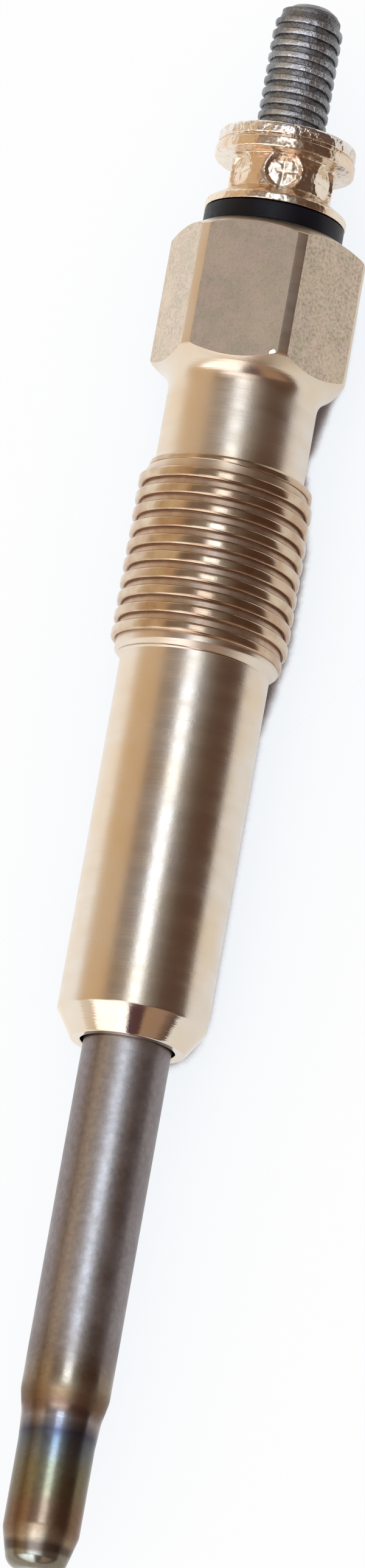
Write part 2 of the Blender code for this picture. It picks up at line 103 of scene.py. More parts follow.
# Shell
STEM_RADIUS = 4.25 * MM
SEAT_CONE_LENGTH = 1.55 * MM
END_FACE_WIDTH = 0.57 * MM
LOWER_STEM_LENGTH = 20.6 * MM
THREAD_LENGTH = 11.7 * MM
THREAD_RADIUS = 4.985 * MM
THREAD_TOP_DROP = 0.35 * MM  # from the thread's top down to where its root starts
THREAD_TURNS = 12
HEX_LENGTH = 9.05 * MM
HEX_LAND_MARGIN = 0.15 * MM
HEX_LOWER_CONE_LENGTH = 1.0 * MM
HEX_UPPER_CONE_LENGTH = 0.85 * MM
MOUTH_GAP = 0.18 * MM
MOUTH_DEPTH = 1.2 * MM
TUBE_HEADROOM = 1.0 * MM
PASSING_GAP = 0.2 * MM
SEAT_CLEARANCE = 0.05 * MM
SPIGOT_WALL = 0.5 * MM
SHANK_RADIUS = 1.75 * MM

# Collar
COLLAR_RIM_HEIGHT = 0.45 * MM
COLLAR_CONE_HEIGHT = 0.75 * MM
COLLAR_NECK_WALL = 0.9 * MM
COLLAR_NECK_HEIGHT = 1.95 * MM
FLANGE_RADIUS = 4.0 * MM
FLANGE_DISC_RADIUS = 3.93 * MM  # the disc above the groove round the flange
FLANGE_GROOVE_DEPTH = 0.14 * MM
FLANGE_GROOVE_DROP = 0.8 * MM  # from the flange's top face down to the groove
CRIMP_COUNT = 6
CRIMP_TURN = math.radians(12.0)
CRIMP_REACH = 1.3 * MM  # along the plug, from the middle of a dent
CRIMP_SPREAD = math.radians(40.0)  # round the neck, from the middle of a dent
CRIMP_FADE = 0.6 * MM  # outside the neck, where the press fades out
BEAD_HEIGHT = 0.035 * MM
CROWN_HEIGHT = 0.05 * MM
CROSS_HEIGHT = 0.05 * MM
# Further places and widths in a dent, as shares of its radius
DENT_END = 1.7
BEAD_MIDDLE, BEAD_WIDTH = 1.14, 0.14
WALL_OUTSIDE, WALL_WIDTH = 1.04, 0.16
ARM_WIDTH = 0.13

# Pin
ROD_RADIUS = 1.3 * MM
NOSE_RADIUS = 1.112 * MM
STUD_NOSE_RADIUS = 1.1 * MM  # the top of the stud, where its thread runs out
STUD_NOSE_LENGTH = 1.0 * MM
STUD_SHOULDER_RADIUS = 1.60 * MM
STUD_SHOULDER_DROP = 0.36 * MM  # from the stud's top down to its shoulder
STUD_START_MARGIN = 0.6 * MM
SHANK_GAP = 2.0 * MM
NOSE_LENGTH = 3.0 * MM

# Stations and radii that follow
TUBE_BORE = TUBE_RADIUS - TUBE_WALL
TAPER_TOP = TIP_LENGTH + TIP_TAPER_LENGTH
STEM_BOTTOM = SHELL_BOTTOM + SEAT_CONE_LENGTH
THREAD_BOTTOM = STEM_BOTTOM + LOWER_STEM_LENGTH
THREAD_TOP = THREAD_BOTTOM + THREAD_LENGTH
HEX_BOTTOM = HEX_TOP - HEX_LENGTH
RIM_TOP = COLLAR_BOTTOM + COLLAR_RIM_HEIGHT
NECK_BOTTOM = RIM_TOP + COLLAR_CONE_HEIGHT
FLANGE_BOTTOM = NECK_BOTTOM + COLLAR_NECK_HEIGHT
STUD_HOLE = STUD_RADIUS + SEAT_CLEARANCE
SPIGOT_RADIUS = STUD_HOLE + SPIGOT_WALL
COUNTERBORE = SPIGOT_RADIUS + SEAT_CLEARANCE
NECK_RADIUS = STUD_HOLE + COLLAR_NECK_WALL
STUD_BOTTOM = SPIGOT_BOTTOM + STUD_START_MARGIN
SHANK_BOTTOM = TUBE_TOP + SHANK_GAP
ROD_BOTTOM = NOSE_BOTTOM + NOSE_LENGTH
BODY_SEAL_SECTION = (COUNTERBORE - SHANK_RADIUS) - 2 * SEAT_CLEARANCE
COUNTERBORE_FLOOR = SPIGOT_BOTTOM - 2 * SEAT_CLEARANCE - BODY_SEAL_SECTION

# Smoothness
ROUND_STEPS = 192
FILLET_POINTS = 5
FILLET_SHARE = 0.4  # of the shorter side beside it, at most
FILLET_HOLD = 0.06 * MM  # a second row of points this far beside each rounded edge
SHARP_ANGLE = math.radians(32.0)
MILLED_EDGE_ANGLE = math.radians(20.0)
FLAT_TOLERANCE = math.radians(1.0)
FLANK_ANGLE = math.radians(30.0)
CREST_ROUNDING = 0.22  # of the pitch
RIDGE_SINK = 0.02 * MM  # how far a thread's ridge reaches into its root
SAME_PLACE = 1e-7  # points closer than this are one
NORMAL_WEIGHT = 90
COLLAR_STEPS = 240
NECK_ROW_HEIGHT = 0.06 * MM

# A small bright chip at the lower corner of the top flat. Its face leans to the right.
CHIP_PLACE = (2.28 * MM, TIP_Y + HEX_BOTTOM + 0.95 * MM, AXIS_HEIGHT + HEX_FLAT_RADIUS)
CHIP_RADIUS = 0.20 * MM
CHIP_SLOPE = 0.18

# Painted shade in the threads' grooves, and the stations between which it lies in the shell's
THREAD_DIRT = (0.49, 0.30, 0.185)
STUD_DIRT = (0.13, 0.127, 0.127)
DIRT_FADE = 0.5 * MM
DIRT_ENDS = (THREAD_BOTTOM + 1.0 * MM, THREAD_TOP - 1.3 * MM)

# Heater tube: colours by the share of its heated length, and roughness by station
HEATED_LENGTH = 14.0 * MM
HEAT_COLOURS = (
    # The first stops, at the tip's end, are painted reflections: a pale end, a dark ring and a bright warm
    # ring
    (0.000, (0.58, 0.64, 0.56)),
    (0.054, (0.58, 0.64, 0.56)),
    (0.068, (0.27, 0.23, 0.19)),
    (0.088, (0.27, 0.23, 0.19)),
    (0.112, (0.70, 0.62, 0.47)),
    (0.150, (0.54, 0.41, 0.28)),
    (0.190, (0.50, 0.34, 0.23)),
    (0.240, (0.48, 0.34, 0.23)),
    (0.310, (0.44, 0.42, 0.27)),
    (0.400, (0.42, 0.44, 0.31)),
    (0.460, (0.36, 0.43, 0.46)),
    (0.510, (0.26, 0.35, 0.44)),
    (0.545, (0.17, 0.21, 0.34)),
    # This pale blue-white ring is partly a heat colour and partly a painted highlight
    (0.600, (0.66, 0.67, 0.75)),
    (0.630, (0.43, 0.33, 0.27)),
    (0.650, (0.42, 0.28, 0.20)),
    (0.690, (0.46, 0.33, 0.19)),
    (0.740, (0.62, 0.53, 0.39)),
    (0.860, (0.55, 0.49, 0.44)),
)
TUBE_ROUGHNESS = (
    (0.8 * MM, 0.20),
    (1.3 * MM, 0.28),
    (2.8 * MM, 0.26),
    (7.6 * MM, 0.26),
    (8.2 * MM, 0.18),
    (8.9 * MM, 0.18),
    (9.3 * MM, 0.38),
    (10.2 * MM, 0.38),
    (10.6 * MM, 0.22),
    (11.3 * MM, 0.24),
    (12.6 * MM, 0.38),
)

# Patches per metre across the turning marks, where they are wholly uneven
PATCHES_ACROSS = 240.0


def length_setting(name, description, default, low=0.0):
    """A length for the panel, given in millimetres."""
    return FloatProperty(
        name=name, description=description, default=default * MM, min=low * MM, unit="LENGTH", precision=5
    )


def colour_setting(name, description, default):
    return FloatVectorProperty(
        name=name, description=description, default=default, size=3, subtype="COLOR", min=0.0, max=1.0
    )


class GlowPlugSizes(bpy.types.PropertyGroup):
    """Sizes of the fine detail that the frame leaves open."""

    shell_pitch: length_setting(
        "Shell thread pitch", "Distance from one crest of the shell's thread to the next", 1.0, 0.2
    )
    stud_pitch: length_setting(
        "Stud thread pitch", "Distance from one crest of the stud's thread to the next", 0.7, 0.2
    )
    shell_thread_depth: length_setting("Shell thread depth", "Depth of the shell's thread", 0.33, 0.05)
    shell_thread_crest: length_setting(
        "Shell thread crest", "Width of the crests of the shell's thread", 0.50, 0.02
    )
    stud_thread_depth: length_setting("Stud thread depth", "Depth of the stud's thread", 0.21, 0.05)
    stud_thread_crest: length_setting(
        "Stud thread crest", "Width of the crests of the stud's thread", 0.30, 0.02
    )
    hexagon_edge: length_setting(
        "Hexagon edge", "Width of the small bevel along the milled edges of the hexagon", 0.16
    )
    crimp_radius: length_setting(
        "Crimp dent radius", "Half the width of each dent in the collar's neck", 1.02, 0.1
    )
    crimp_depth: length_setting("Crimp dent depth", "Depth of each dent in the collar's neck", 0.30)
    thread_steps: IntProperty(
        name="Thread steps", description="Points along each turn of the threads", default=96, min=12, max=256
    )


class GlowPlugFinish(bpy.types.PropertyGroup):
    """Colours of the finishes and levels of the light."""

    plating: colour_setting("Shell plating", "Colour of the plated steel of the shell", (0.75, 0.675, 0.595))
    plating_warm: colour_setting(
        "Warm plating", "Colour of the plating where it is thicker and more golden", (0.74, 0.60, 0.44)
    )
    collar: colour_setting("Collar plating", "Colour of the contact collar's plating", (0.82, 0.71, 0.58))
    tube: colour_setting("Heater tube", "Colour of the tube away from its heated tip", (0.66, 0.63, 0.63))
    stud: colour_setting("Stud steel", "Colour of the dark steel of the terminal pin", (0.74, 0.76, 0.81))
    washer: colour_setting("Washer plastic", "Colour of the insulating washer", (0.005, 0.005, 0.0095))
    strip_power: FloatProperty(
        name="Strip light", description="Radiance of the light above the plug", default=2.35, min=0.0
    )
    window_power: FloatProperty(
        name="Window light", description="Radiance of the room's broad bright part", default=2.0, min=0.0
    )


def sizes():
    return bpy.context.scene.glow_plug_sizes


def finish():
    return bpy.context.scene.glow_plug_finish


# Meshes of turned pieces


def rounded(corners, ring):
    """Profile points from (radius, station, fillet) corners. Each fillet is a short curve, and its
    radius is given in millimetres."""
    points = []
    count = len(corners)
    for i, (radius, station, fillet) in enumerate(corners):
        here = Vector((radius, station))
        is_end = not ring and i in (0, count - 1)
        if is_end or fillet == 0:
            points.append(here)
            continue
        before = Vector(corners[i - 1][:2]) - here
        after = Vector(corners[(i + 1) % count][:2]) - here
        half = before.angle(after) / 2
        limit = FILLET_SHARE * min(before.length, after.length)
        reach = min(fillet * MM / math.tan(half), limit)
        start = here + before.normalized() * reach
        end = here + after.normalized() * reach
        if reach + FILLET_HOLD < 2 * limit:
            points.append(here + before.normalized() * (reach + FILLET_HOLD))
        for k in range(FILLET_POINTS + 1):
            share = k / FILLET_POINTS
            early = start.lerp(here, share)
            points.append(early.lerp(here.lerp(end, share), share))
        if reach + FILLET_HOLD < 2 * limit:
            points.append(here + after.normalized() * (reach + FILLET_HOLD))
    return points


def lathe(profile, ring, steps=ROUND_STEPS):
    """A bmesh turned round the plug's axis from points that run up the inside and down the
    outside. A profile that is no ring starts and ends on the axis."""
    shape = bmesh.new()
    rows = []
    for radius, station in profile:
        turns = 1 if radius == 0 else steps
        row = []
        for i in range(turns):
            angle = math.tau * i / steps
            x = radius * math.sin(angle)
            z = AXIS_HEIGHT + radius * math.cos(angle)
            row.append(shape.verts.new((x, TIP_Y + station, z)))
        rows.append(row)
    pairs = list(zip(rows, rows[1:]))
    if ring:
        pairs.append((rows[-1], rows[0]))
    for low, high in pairs:
        for i in range(steps):
            j = (i + 1) % steps
            corners = [low[i % len(low)], low[j % len(low)], high[j % len(high)], high[i % len(high)]]
            shape.faces.new(dict.fromkeys(corners))
    bmesh.ops.recalc_face_normals(shape, faces=shape.faces)
    return shape


def add_object(name, data):
    thing = bpy.data.objects.new(name, data)
    bpy.context.scene.collection.objects.link(thing)
    return thing


def to_piece(shape, name):
    """An object at the origin with this bmesh, shaded smooth up to its sharp edges."""
    mesh = bpy.data.meshes.new(name)
    shape.to_mesh(mesh)
    shape.free()
    mesh.shade_smooth()
    mesh.set_sharp_from_angle(angle=SHARP_ANGLE)
    return add_object(name, mesh)


def bake_modifiers(piece):
    """Makes the modifiers part of the mesh and takes them off."""
    bpy.context.view_layer.update()
    graph = bpy.context.evaluated_depsgraph_get()
    piece.data = bpy.data.meshes.new_from_object(piece.evaluated_get(graph))
    piece.modifiers.clear()
    return piece


def turned_piece(name, corners, ring, material):
    """A turned piece with its material, from the corners of its section."""
    piece = to_piece(lathe(rounded(corners, ring), ring), name)
    piece.data.materials.append(material)
    return piece


def keep(piece, slot, *replaced):
    """Rides the piece on the plug, and hides the CAD nodes it stands for."""
    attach(piece, "root")
    if replaced:
        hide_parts(*replaced)


# Shader building


def add_node(tree, kind, inputs=None, **settings):
    """A node with its settings, and its inputs set to values or linked to other sockets."""
    node = tree.nodes.new(kind)
    for name, value in settings.items():
        setattr(node, name, value)
    for key, value in (inputs or {}).items():
        if isinstance(value, bpy.types.NodeSocket):
            tree.links.new(value, node.inputs[key])
        else:
            node.inputs[key].default_value = value
    return node


def output_of(tree, kind, inputs=None, **settings):
    """The first output of a new node."""
    return add_node(tree, kind, inputs, **settings).outputs[0]


def math_node(tree, operation, *values, clamp=False):
    return output_of(tree, "ShaderNodeMath", dict(enumerate(values)), operation=operation, use_clamp=clamp)


def plus(tree, first, second):
    return math_node(tree, "ADD", first, second)


def minus(tree, first, second):
    return math_node(tree, "SUBTRACT", first, second)


def times(tree, first, second):
    return math_node(tree, "MULTIPLY", first, second)


def map_range(tree, value, low, high, to_low=0.0, to_high=1.0):
    inputs = {"Value": value, "From Min": low, "From Max": high, "To Min": to_low, "To Max": to_high}
    return output_of(tree, "ShaderNodeMapRange", inputs, clamp=True)


def mix_colours(tree, factor, first, second, blend="MIX"):
    """Mixes two colours, each a socket or three numbers."""
    inputs = {0: factor}
    for key, value in ((6, first), (7, second)):
        inputs[key] = value if isinstance(value, bpy.types.NodeSocket) else (*value, 1.0)
    return add_node(tree, "ShaderNodeMix", inputs, data_type="RGBA", blend_type=blend).outputs[2]


def colour_ramp(tree, factor, stops):
    """A colour ramp from (position, colour) stops."""
    node = add_node(tree, "ShaderNodeValToRGB", {"Fac": factor})
    elements = node.color_ramp.elements
    while len(elements) < len(stops):
        elements.new(1.0)
    for element, (position, colour) in zip(elements, stops):
        element.position = position
        element.color = (*colour, 1.0)
    return node.outputs["Color"]


def new_group(name, inputs, outputs):
    """A shader node group of plain values, with inputs as {name: default} and outputs by name."""
    group = bpy.data.node_groups.new(name, "ShaderNodeTree")
    for socket, default in inputs.items():
        made = group.interface.new_socket(socket, in_out="INPUT", socket_type="NodeSocketFloat")
        made.default_value = default
    for socket in outputs:
        group.interface.new_socket(socket, in_out="OUTPUT", socket_type="NodeSocketFloat")
    start = group.nodes.new("NodeGroupInput")
    end = group.nodes.new("NodeGroupOutput")
    return group, start.outputs, end.inputs


def object_place(tree):
    """Object coordinates and their three parts."""
    place = add_node(tree, "ShaderNodeTexCoord").outputs["Object"]
    return place, add_node(tree, "ShaderNodeSeparateXYZ", {0: place}).outputs


def noise(tree, place, scale, detail, roughness=0.5):
    inputs = {"Vector": place, "Scale": scale, "Detail": detail, "Roughness": roughness}
    return add_node(tree, "ShaderNodeTexNoise", inputs).outputs["Fac"]


def make_turning_marks():
    """Fine rings that a lathe leaves, with broken and uneven patches."""
    inputs = {"Rings per metre": 9000.0, "Unevenness": 0.5}
    group, given, made = new_group("turning marks", inputs, ("Height", "Streaks"))
    _, parts = object_place(group)
    along = times(group, parts["Y"], given["Rings per metre"])
    across = times(group, given["Unevenness"], PATCHES_ACROSS)
    x = times(group, parts["X"], across)
    z = times(group, parts["Z"], across)
    place = output_of(group, "ShaderNodeCombineXYZ", {0: x, 1: along, 2: z})
    slow = output_of(group, "ShaderNodeMapping", {"Vector": place, "Scale": (2.0, 0.12, 2.0)})
    group.links.new(noise(group, place, 1.0, 3.0), made["Height"])
    group.links.new(noise(group, slow, 1.0, 4.0), made["Streaks"])


def make_fine_grain():
    """Speckle of a pickled, plated or rolled surface, and slow patches."""
    inputs = {"Grains per metre": 5000.0, "Patches per metre": 300.0}
    group, given, made = new_group("fine grain", inputs, ("Speckle", "Patches"))
    place, _ = object_place(group)
    group.links.new(noise(group, place, given["Grains per metre"], 4.0, 0.65), made["Speckle"])
    group.links.new(noise(group, place, given["Patches per metre"], 3.0), made["Patches"])


def make_groove_depth():
    """1 at the bottom of a groove round the plug's axis, 0 at its outer edge."""
    inputs = {"Groove radius": 4.0 * MM, "Crest radius": 5.0 * MM}
    group, given, made = new_group("groove depth", inputs, ("Depth",))
    _, parts = object_place(group)
    rise = minus(group, parts["Z"], AXIS_HEIGHT)
    squares = [math_node(group, "POWER", side, 2.0) for side in (parts["X"], rise)]
    radius = math_node(group, "SQRT", plus(group, *squares))
    depth = map_range(group, radius, given["Groove radius"], given["Crest radius"], 1.0, 0.0)
    group.links.new(depth, made["Depth"])


def use_group(tree, name, inputs):
    """The group's outputs in this material, with its inputs set by name."""
    return add_node(tree, "ShaderNodeGroup", inputs, node_tree=bpy.data.node_groups[name]).outputs


def turning_marks(tree, rings, unevenness):
    return use_group(tree, "turning marks", {"Rings per metre": rings, "Unevenness": unevenness})


def fine_grain(tree, grains, patches):
    return use_group(tree, "fine grain", {"Grains per metre": grains, "Patches per metre": patches})


def new_material(name, roughness=0.3, metallic=1.0):
    """A material with a Principled shader, its tree and the shader."""
    material = bpy.data.materials.new(name)
    material.use_nodes = True
    tree = material.node_tree
    shader = tree.nodes["Principled BSDF"]
    shader.inputs["Metallic"].default_value = metallic
    shader.inputs["Roughness"].default_value = roughness
    return material, tree, shader


def set_surface(tree, shader, base, rough, height, distance, strength=1.0):
    """Gives the shader its colour, roughness and bump."""
    bump = output_of(tree, "ShaderNodeBump", {"Height": height, "Distance": distance, "Strength": strength})
    for name, socket in (("Base Color", base), ("Roughness", rough), ("Normal", bump)):
        tree.links.new(socket, shader.inputs[name])


def by_station(tree, stops):
    """A value between 0 and 1 by the place along the plug's axis, from (station, value) stops."""
    _, parts = object_place(tree)
    share = math_node(tree, "DIVIDE", minus(tree, parts["Y"], TIP_Y), STUD_TOP)
    return colour_ramp(tree, share, [(place / STUD_TOP, (value,) * 3) for place, value in stops])


def tint_edges(tree, base, tint, low, high):
    """Darkens the colour where the surface is seen at a slant: painted shade along the sides."""
    slant = add_node(tree, "ShaderNodeLayerWeight", {"Blend": 0.5}).outputs["Facing"]
    tinted = mix_colours(tree, 1.0, base, tint, "MULTIPLY")
    return mix_colours(tree, map_range(tree, slant, low, high), base, tinted)


def plated_steel(name, cool, warm, roughness, patches_per_metre=260.0):
    """Turned and plated steel. Its roughness is given as (station, value) stops."""
    material, tree, shader = new_material(name)
    marks = turning_marks(tree, 11000.0, 0.6)
    grain = fine_grain(tree, 3500.0, patches_per_metre)
    base = mix_colours(tree, map_range(tree, grain["Patches"], 0.35, 0.65), cool, warm)
    base = mix_colours(tree, map_range(tree, marks["Streaks"], 0.3, 0.7, 0.0, 0.35), base, warm)
    spread = map_range(tree, marks["Streaks"], 0.3, 0.75, 0.9, 1.2)
    rough = times(tree, by_station(tree, roughness), spread)
    height = plus(tree, marks["Height"], times(tree, grain["Speckle"], 0.5))
    set_surface(tree, shader, base, rough, height, 0.010 * MM, 0.8)
    return material


def darken_grooves(material, groove, crest, dirt, strength, ends):
    """Paints shade from the crest's radius down to the groove's, between two stations, made uneven by
    speckle. The surface is also a little rougher and less metallic there."""
    tree = material.node_tree
    inputs = tree.nodes["Principled BSDF"].inputs
    base, rough = (inputs[name].links[0].from_socket for name in ("Base Color", "Roughness"))
    depth = use_group(tree, "groove depth", {"Groove radius": groove, "Crest radius": crest})["Depth"]
    low, high = ends
    stops = [(low - DIRT_FADE, 0.0), (low, 1.0), (high, 1.0), (high + DIRT_FADE, 0.0)]
    depth = times(tree, depth, by_station(tree, stops))
    spots = fine_grain(tree, 1800.0, 500.0)
    # Painted groove shade, deepest at the groove's bottom and broken up by speckle
    dirty = map_range(tree, spots["Speckle"], 0.38, 0.62, 0.6 * strength, strength)
    base = mix_colours(tree, times(tree, depth, dirty), base, dirt)
    tree.links.new(base, inputs["Base Color"])
    tree.links.new(map_range(tree, depth, 0.0, 1.0, 1.0, 0.8), inputs["Metallic"])
    tree.links.new(plus(tree, rough, times(tree, depth, 0.06)), inputs["Roughness"])


def collar_plating():
    """Golden plating with blotches, uneven from the press, and chipped along the flange's top."""
    material, tree, shader = new_material("collar_plating")
    marks = turning_marks(tree, 9000.0, 0.6)
    blotches = fine_grain(tree, 2600.0, 620.0)
    chips = fine_grain(tree, 3400.0, 1500.0)
    patches = map_range(tree, blotches["Patches"], 0.40, 0.60)
    base = mix_colours(tree, patches, finish().collar, (0.78, 0.61, 0.46))
    chipped = by_station(tree, [(FLANGE_TOP - 0.80 * MM, 0.0), (FLANGE_TOP - 0.50 * MM, 1.0)])
    chipped = times(tree, chipped, map_range(tree, chips["Patches"], 0.36, 0.50))
    base = mix_colours(tree, times(tree, chipped, 0.8), base, (0.82, 0.80, 0.78))
    rough = map_range(tree, blotches["Speckle"], 0.35, 0.65, 0.17, 0.28)
    uneven = plus(tree, times(tree, blotches["Patches"], 2.2), times(tree, marks["Height"], 0.06))
    peened = times(tree, chips["Patches"], chipped)
    set_surface(tree, shader, base, rough, plus(tree, uneven, peened), 0.14 * MM)
    return material


def milled_flats():
    """The hexagon's flats: duller than the turned faces and mottled, with one bright chip."""
    material, tree, shader = new_material("milled_flats")
    grain = fine_grain(tree, 1250.0, 420.0)
    spots = fine_grain(tree, 5200.0, 1100.0)
    mottle = map_range(tree, grain["Speckle"], 0.43, 0.57)
    base = mix_colours(tree, mottle, (0.59, 0.505, 0.375), (0.675, 0.535, 0.43))
    dark = map_range(tree, spots["Speckle"], 0.49, 0.63, 0.0, 0.6)
    base = mix_colours(tree, dark, base, (0.42, 0.34, 0.25))
    warm = map_range(tree, grain["Patches"], 0.45, 0.7, 0.0, 0.5)
    base = mix_colours(tree, warm, base, finish().plating_warm)
    place, parts = object_place(tree)
    away = add_node(tree, "ShaderNodeVectorMath", {0: place, 1: CHIP_PLACE}, operation="DISTANCE")
    chip = map_range(tree, away.outputs["Value"], 0.9 * CHIP_RADIUS, 1.2 * CHIP_RADIUS, 1.0, 0.0)
    base = mix_colours(tree, chip, base, (0.90, 0.90, 0.94))
    rough = map_range(tree, spots["Speckle"], 0.35, 0.65, 0.30, 0.44)
    rough = map_range(tree, chip, 0.0, 1.0, rough, 0.12)
    # The bump's height is in metres here, so its distance is 1
    lean = times(tree, minus(tree, parts["X"], CHIP_PLACE[0]), -CHIP_SLOPE)
    height = plus(tree, times(tree, lean, chip), times(tree, spots["Speckle"], 0.005 * MM))
    set_surface(tree, shader, base, rough, height, 1.0)
    return material


def heated_tube():
    """Heat-resistant steel with the colours that heat left towards the tip, painted reflections at the tip's
    end and painted shade along its sides.
    """
    material, tree, shader = new_material("heated_tube")
    _, parts = object_place(tree)
    marks = turning_marks(tree, 5000.0, 0.9)
    grain = fine_grain(tree, 3000.0, 350.0)
    wander = times(tree, minus(tree, grain["Patches"], 0.5), 0.8 * MM)
    station = minus(tree, plus(tree, parts["Y"], wander), TIP_Y)
    share = math_node(tree, "DIVIDE", station, HEATED_LENGTH)
    base = colour_ramp(tree, share, [*HEAT_COLOURS, (1.0, finish().tube)])
    dark = map_range(tree, grain["Speckle"], 0.35, 0.65, 0.0, 0.3)
    base = mix_colours(tree, dark, base, (0.20, 0.18, 0.17))
    # Painted shade along the tube's sides where it is seen at a slant, browner near the tip
    near_tip = map_range(tree, station, 8.0 * MM, 12.0 * MM)
    tint = mix_colours(tree, near_tip, (0.40, 0.32, 0.27), (0.42, 0.38, 0.38))
    base = tint_edges(tree, base, tint, 0.02, 0.26)
    uneven = map_range(tree, marks["Streaks"], 0.3, 0.7, 0.9, 1.15)
    rough = times(tree, by_station(tree, TUBE_ROUGHNESS), uneven)
    height = plus(tree, marks["Height"], grain["Speckle"])
    set_surface(tree, shader, base, rough, height, 0.005 * MM, 0.5)
    return material


def dark_steel(name, colour):
    """Plain dark steel, worn and scuffed, with painted shade along its sides where it is seen at a slant."""
    material, tree, shader = new_material(name)
    grain = fine_grain(tree, 2600.0, 700.0)
    dull = [part * share for part, share in zip(colour, (0.66, 0.64, 0.62))]
    base = mix_colours(tree, map_range(tree, grain["Patches"], 0.38, 0.62), colour, dull)
    # Painted shade along the sides where the steel is seen at a slant
    base = tint_edges(tree, base, (0.36, 0.36, 0.36), 0.05, 0.4)
    rough = map_range(tree, grain["Speckle"], 0.42, 0.60, 0.36, 0.14)
    set_surface(tree, shader, base, rough, grain["Speckle"], 0.13 * MM)
    return material


def moulded_plastic(name, colour, roughness):
    """Matt moulded plastic or rubber with a faint grain."""
    material, tree, shader = new_material(name, metallic=0.0)
    grain = fine_grain(tree, 3800.0, 600.0)
    lighter = [min(1.0, part * 1.8 + 0.004) for part in colour]
    base = mix_colours(tree, map_range(tree, grain["Patches"], 0.35, 0.7), colour, lighter)
    rough = map_range(tree, grain["Speckle"], 0.3, 0.7, roughness * 0.85, roughness * 1.15)
    shader.inputs["Specular IOR Level"].default_value = 0.22
    set_surface(tree, shader, base, rough, grain["Speckle"], 0.012 * MM, 0.5)
    return material


# Threads


def make_thread_tree():
    """Geometry nodes for one helical thread ridge, upright on Z, laid down by its last steps."""
    tree = bpy.data.node_groups.new("thread ridge", "GeometryNodeTree")
    names = (
        "Geometry", "Root Radius", "Depth", "Root Width", "Crest Width", "Crest Rounding", "Turns",
        "Length", "Run-out Turns", "Run-out Drop", "Run-out Share", "Steps per Turn", "Place",
        "Lay Down", "Material",
    )
    kinds = {"Geometry": "Geometry", "Steps per Turn": "Int", "Place": "Vector", "Material": "Material"}
    for name in names:
        kind = "NodeSocket" + kinds.get(name, "Float")
        tree.interface.new_socket(name, in_out="INPUT", socket_type=kind)
    tree.interface.new_socket("Geometry", in_out="OUTPUT", socket_type="NodeSocketGeometry")
    given = tree.nodes.new("NodeGroupInput").outputs
    spiral = output_of(tree, "GeometryNodeCurveSpiral", {
        "Resolution": given["Steps per Turn"],
        "Rotations": given["Turns"],
        "Start Radius": given["Root Radius"],
        "End Radius": given["Root Radius"],
        "Height": given["Length"],
        "Reverse": False,
    })
    spiral = output_of(tree, "GeometryNodeSetCurveNormal", {"Curve": spiral}, mode="Z_UP")
    along = tree.nodes.new("GeometryNodeSplineParameter").outputs["Factor"]
    turn = times(tree, along, given["Turns"])
    nearest = math_node(tree, "MINIMUM", turn, minus(tree, given["Turns"], turn))
    growth = math_node(tree, "DIVIDE", nearest, given["Run-out Turns"], clamp=True)
    sunk = times(tree, minus(tree, 1.0, growth), given["Run-out Drop"])
    across = minus(tree, 1.0, math_node(tree, "DIVIDE", sunk, given["Root Radius"]))
    shrink = output_of(tree, "ShaderNodeCombineXYZ", {0: across, 1: across, 2: 1.0})
    here = output_of(tree, "GeometryNodeInputPosition")
    drawn_in = output_of(tree, "ShaderNodeVectorMath", {0: here, 1: shrink}, operation="MULTIPLY")
    spiral = output_of(tree, "GeometryNodeSetPosition", {"Geometry": spiral, "Position": drawn_in})
    growth = math_node(tree, "MAXIMUM", growth, given["Run-out Share"])
    trapezoid = {
        "Height": given["Depth"],
        "Bottom Width": given["Root Width"],
        "Top Width": given["Crest Width"],
        "Offset": 0.0,
    }
    profile = output_of(tree, "GeometryNodeCurvePrimitiveQuadrilateral", trapezoid, mode="TRAPEZOID")
    lift = output_of(tree, "ShaderNodeCombineXYZ", {0: times(tree, given["Depth"], -0.5)})
    outward = {"Geometry": profile, "Translation": lift, "Rotation": (0.0, 0.0, math.pi / 2)}
    profile = output_of(tree, "GeometryNodeTransform", outward)
    fillet = {"Curve": profile, "Count": 3, "Radius": given["Crest Rounding"], "Limit Radius": True}
    profile = output_of(tree, "GeometryNodeFilletCurve", fillet, mode="POLY")
    sweep = {"Curve": spiral, "Profile Curve": profile, "Scale": growth, "Fill Caps": True}
    ridge = output_of(tree, "GeometryNodeCurveToMesh", sweep)
    turn_down = output_of(tree, "ShaderNodeCombineXYZ", {0: given["Lay Down"]})
    laid = {"Geometry": ridge, "Translation": given["Place"], "Rotation": turn_down}
    ridge = output_of(tree, "GeometryNodeTransform", laid)
    ridge = output_of(tree, "GeometryNodeSetShadeSmooth", {"Geometry": ridge, "Shade Smooth": True})
    ridge = output_of(tree, "GeometryNodeRealizeInstances", {"Geometry": ridge})
    ridge = output_of(tree, "GeometryNodeSetMaterial", {"Geometry": ridge, "Material": given["Material"]})
    end = tree.nodes.new("NodeGroupOutput")
    tree.links.new(ridge, end.inputs["Geometry"])
    return tree


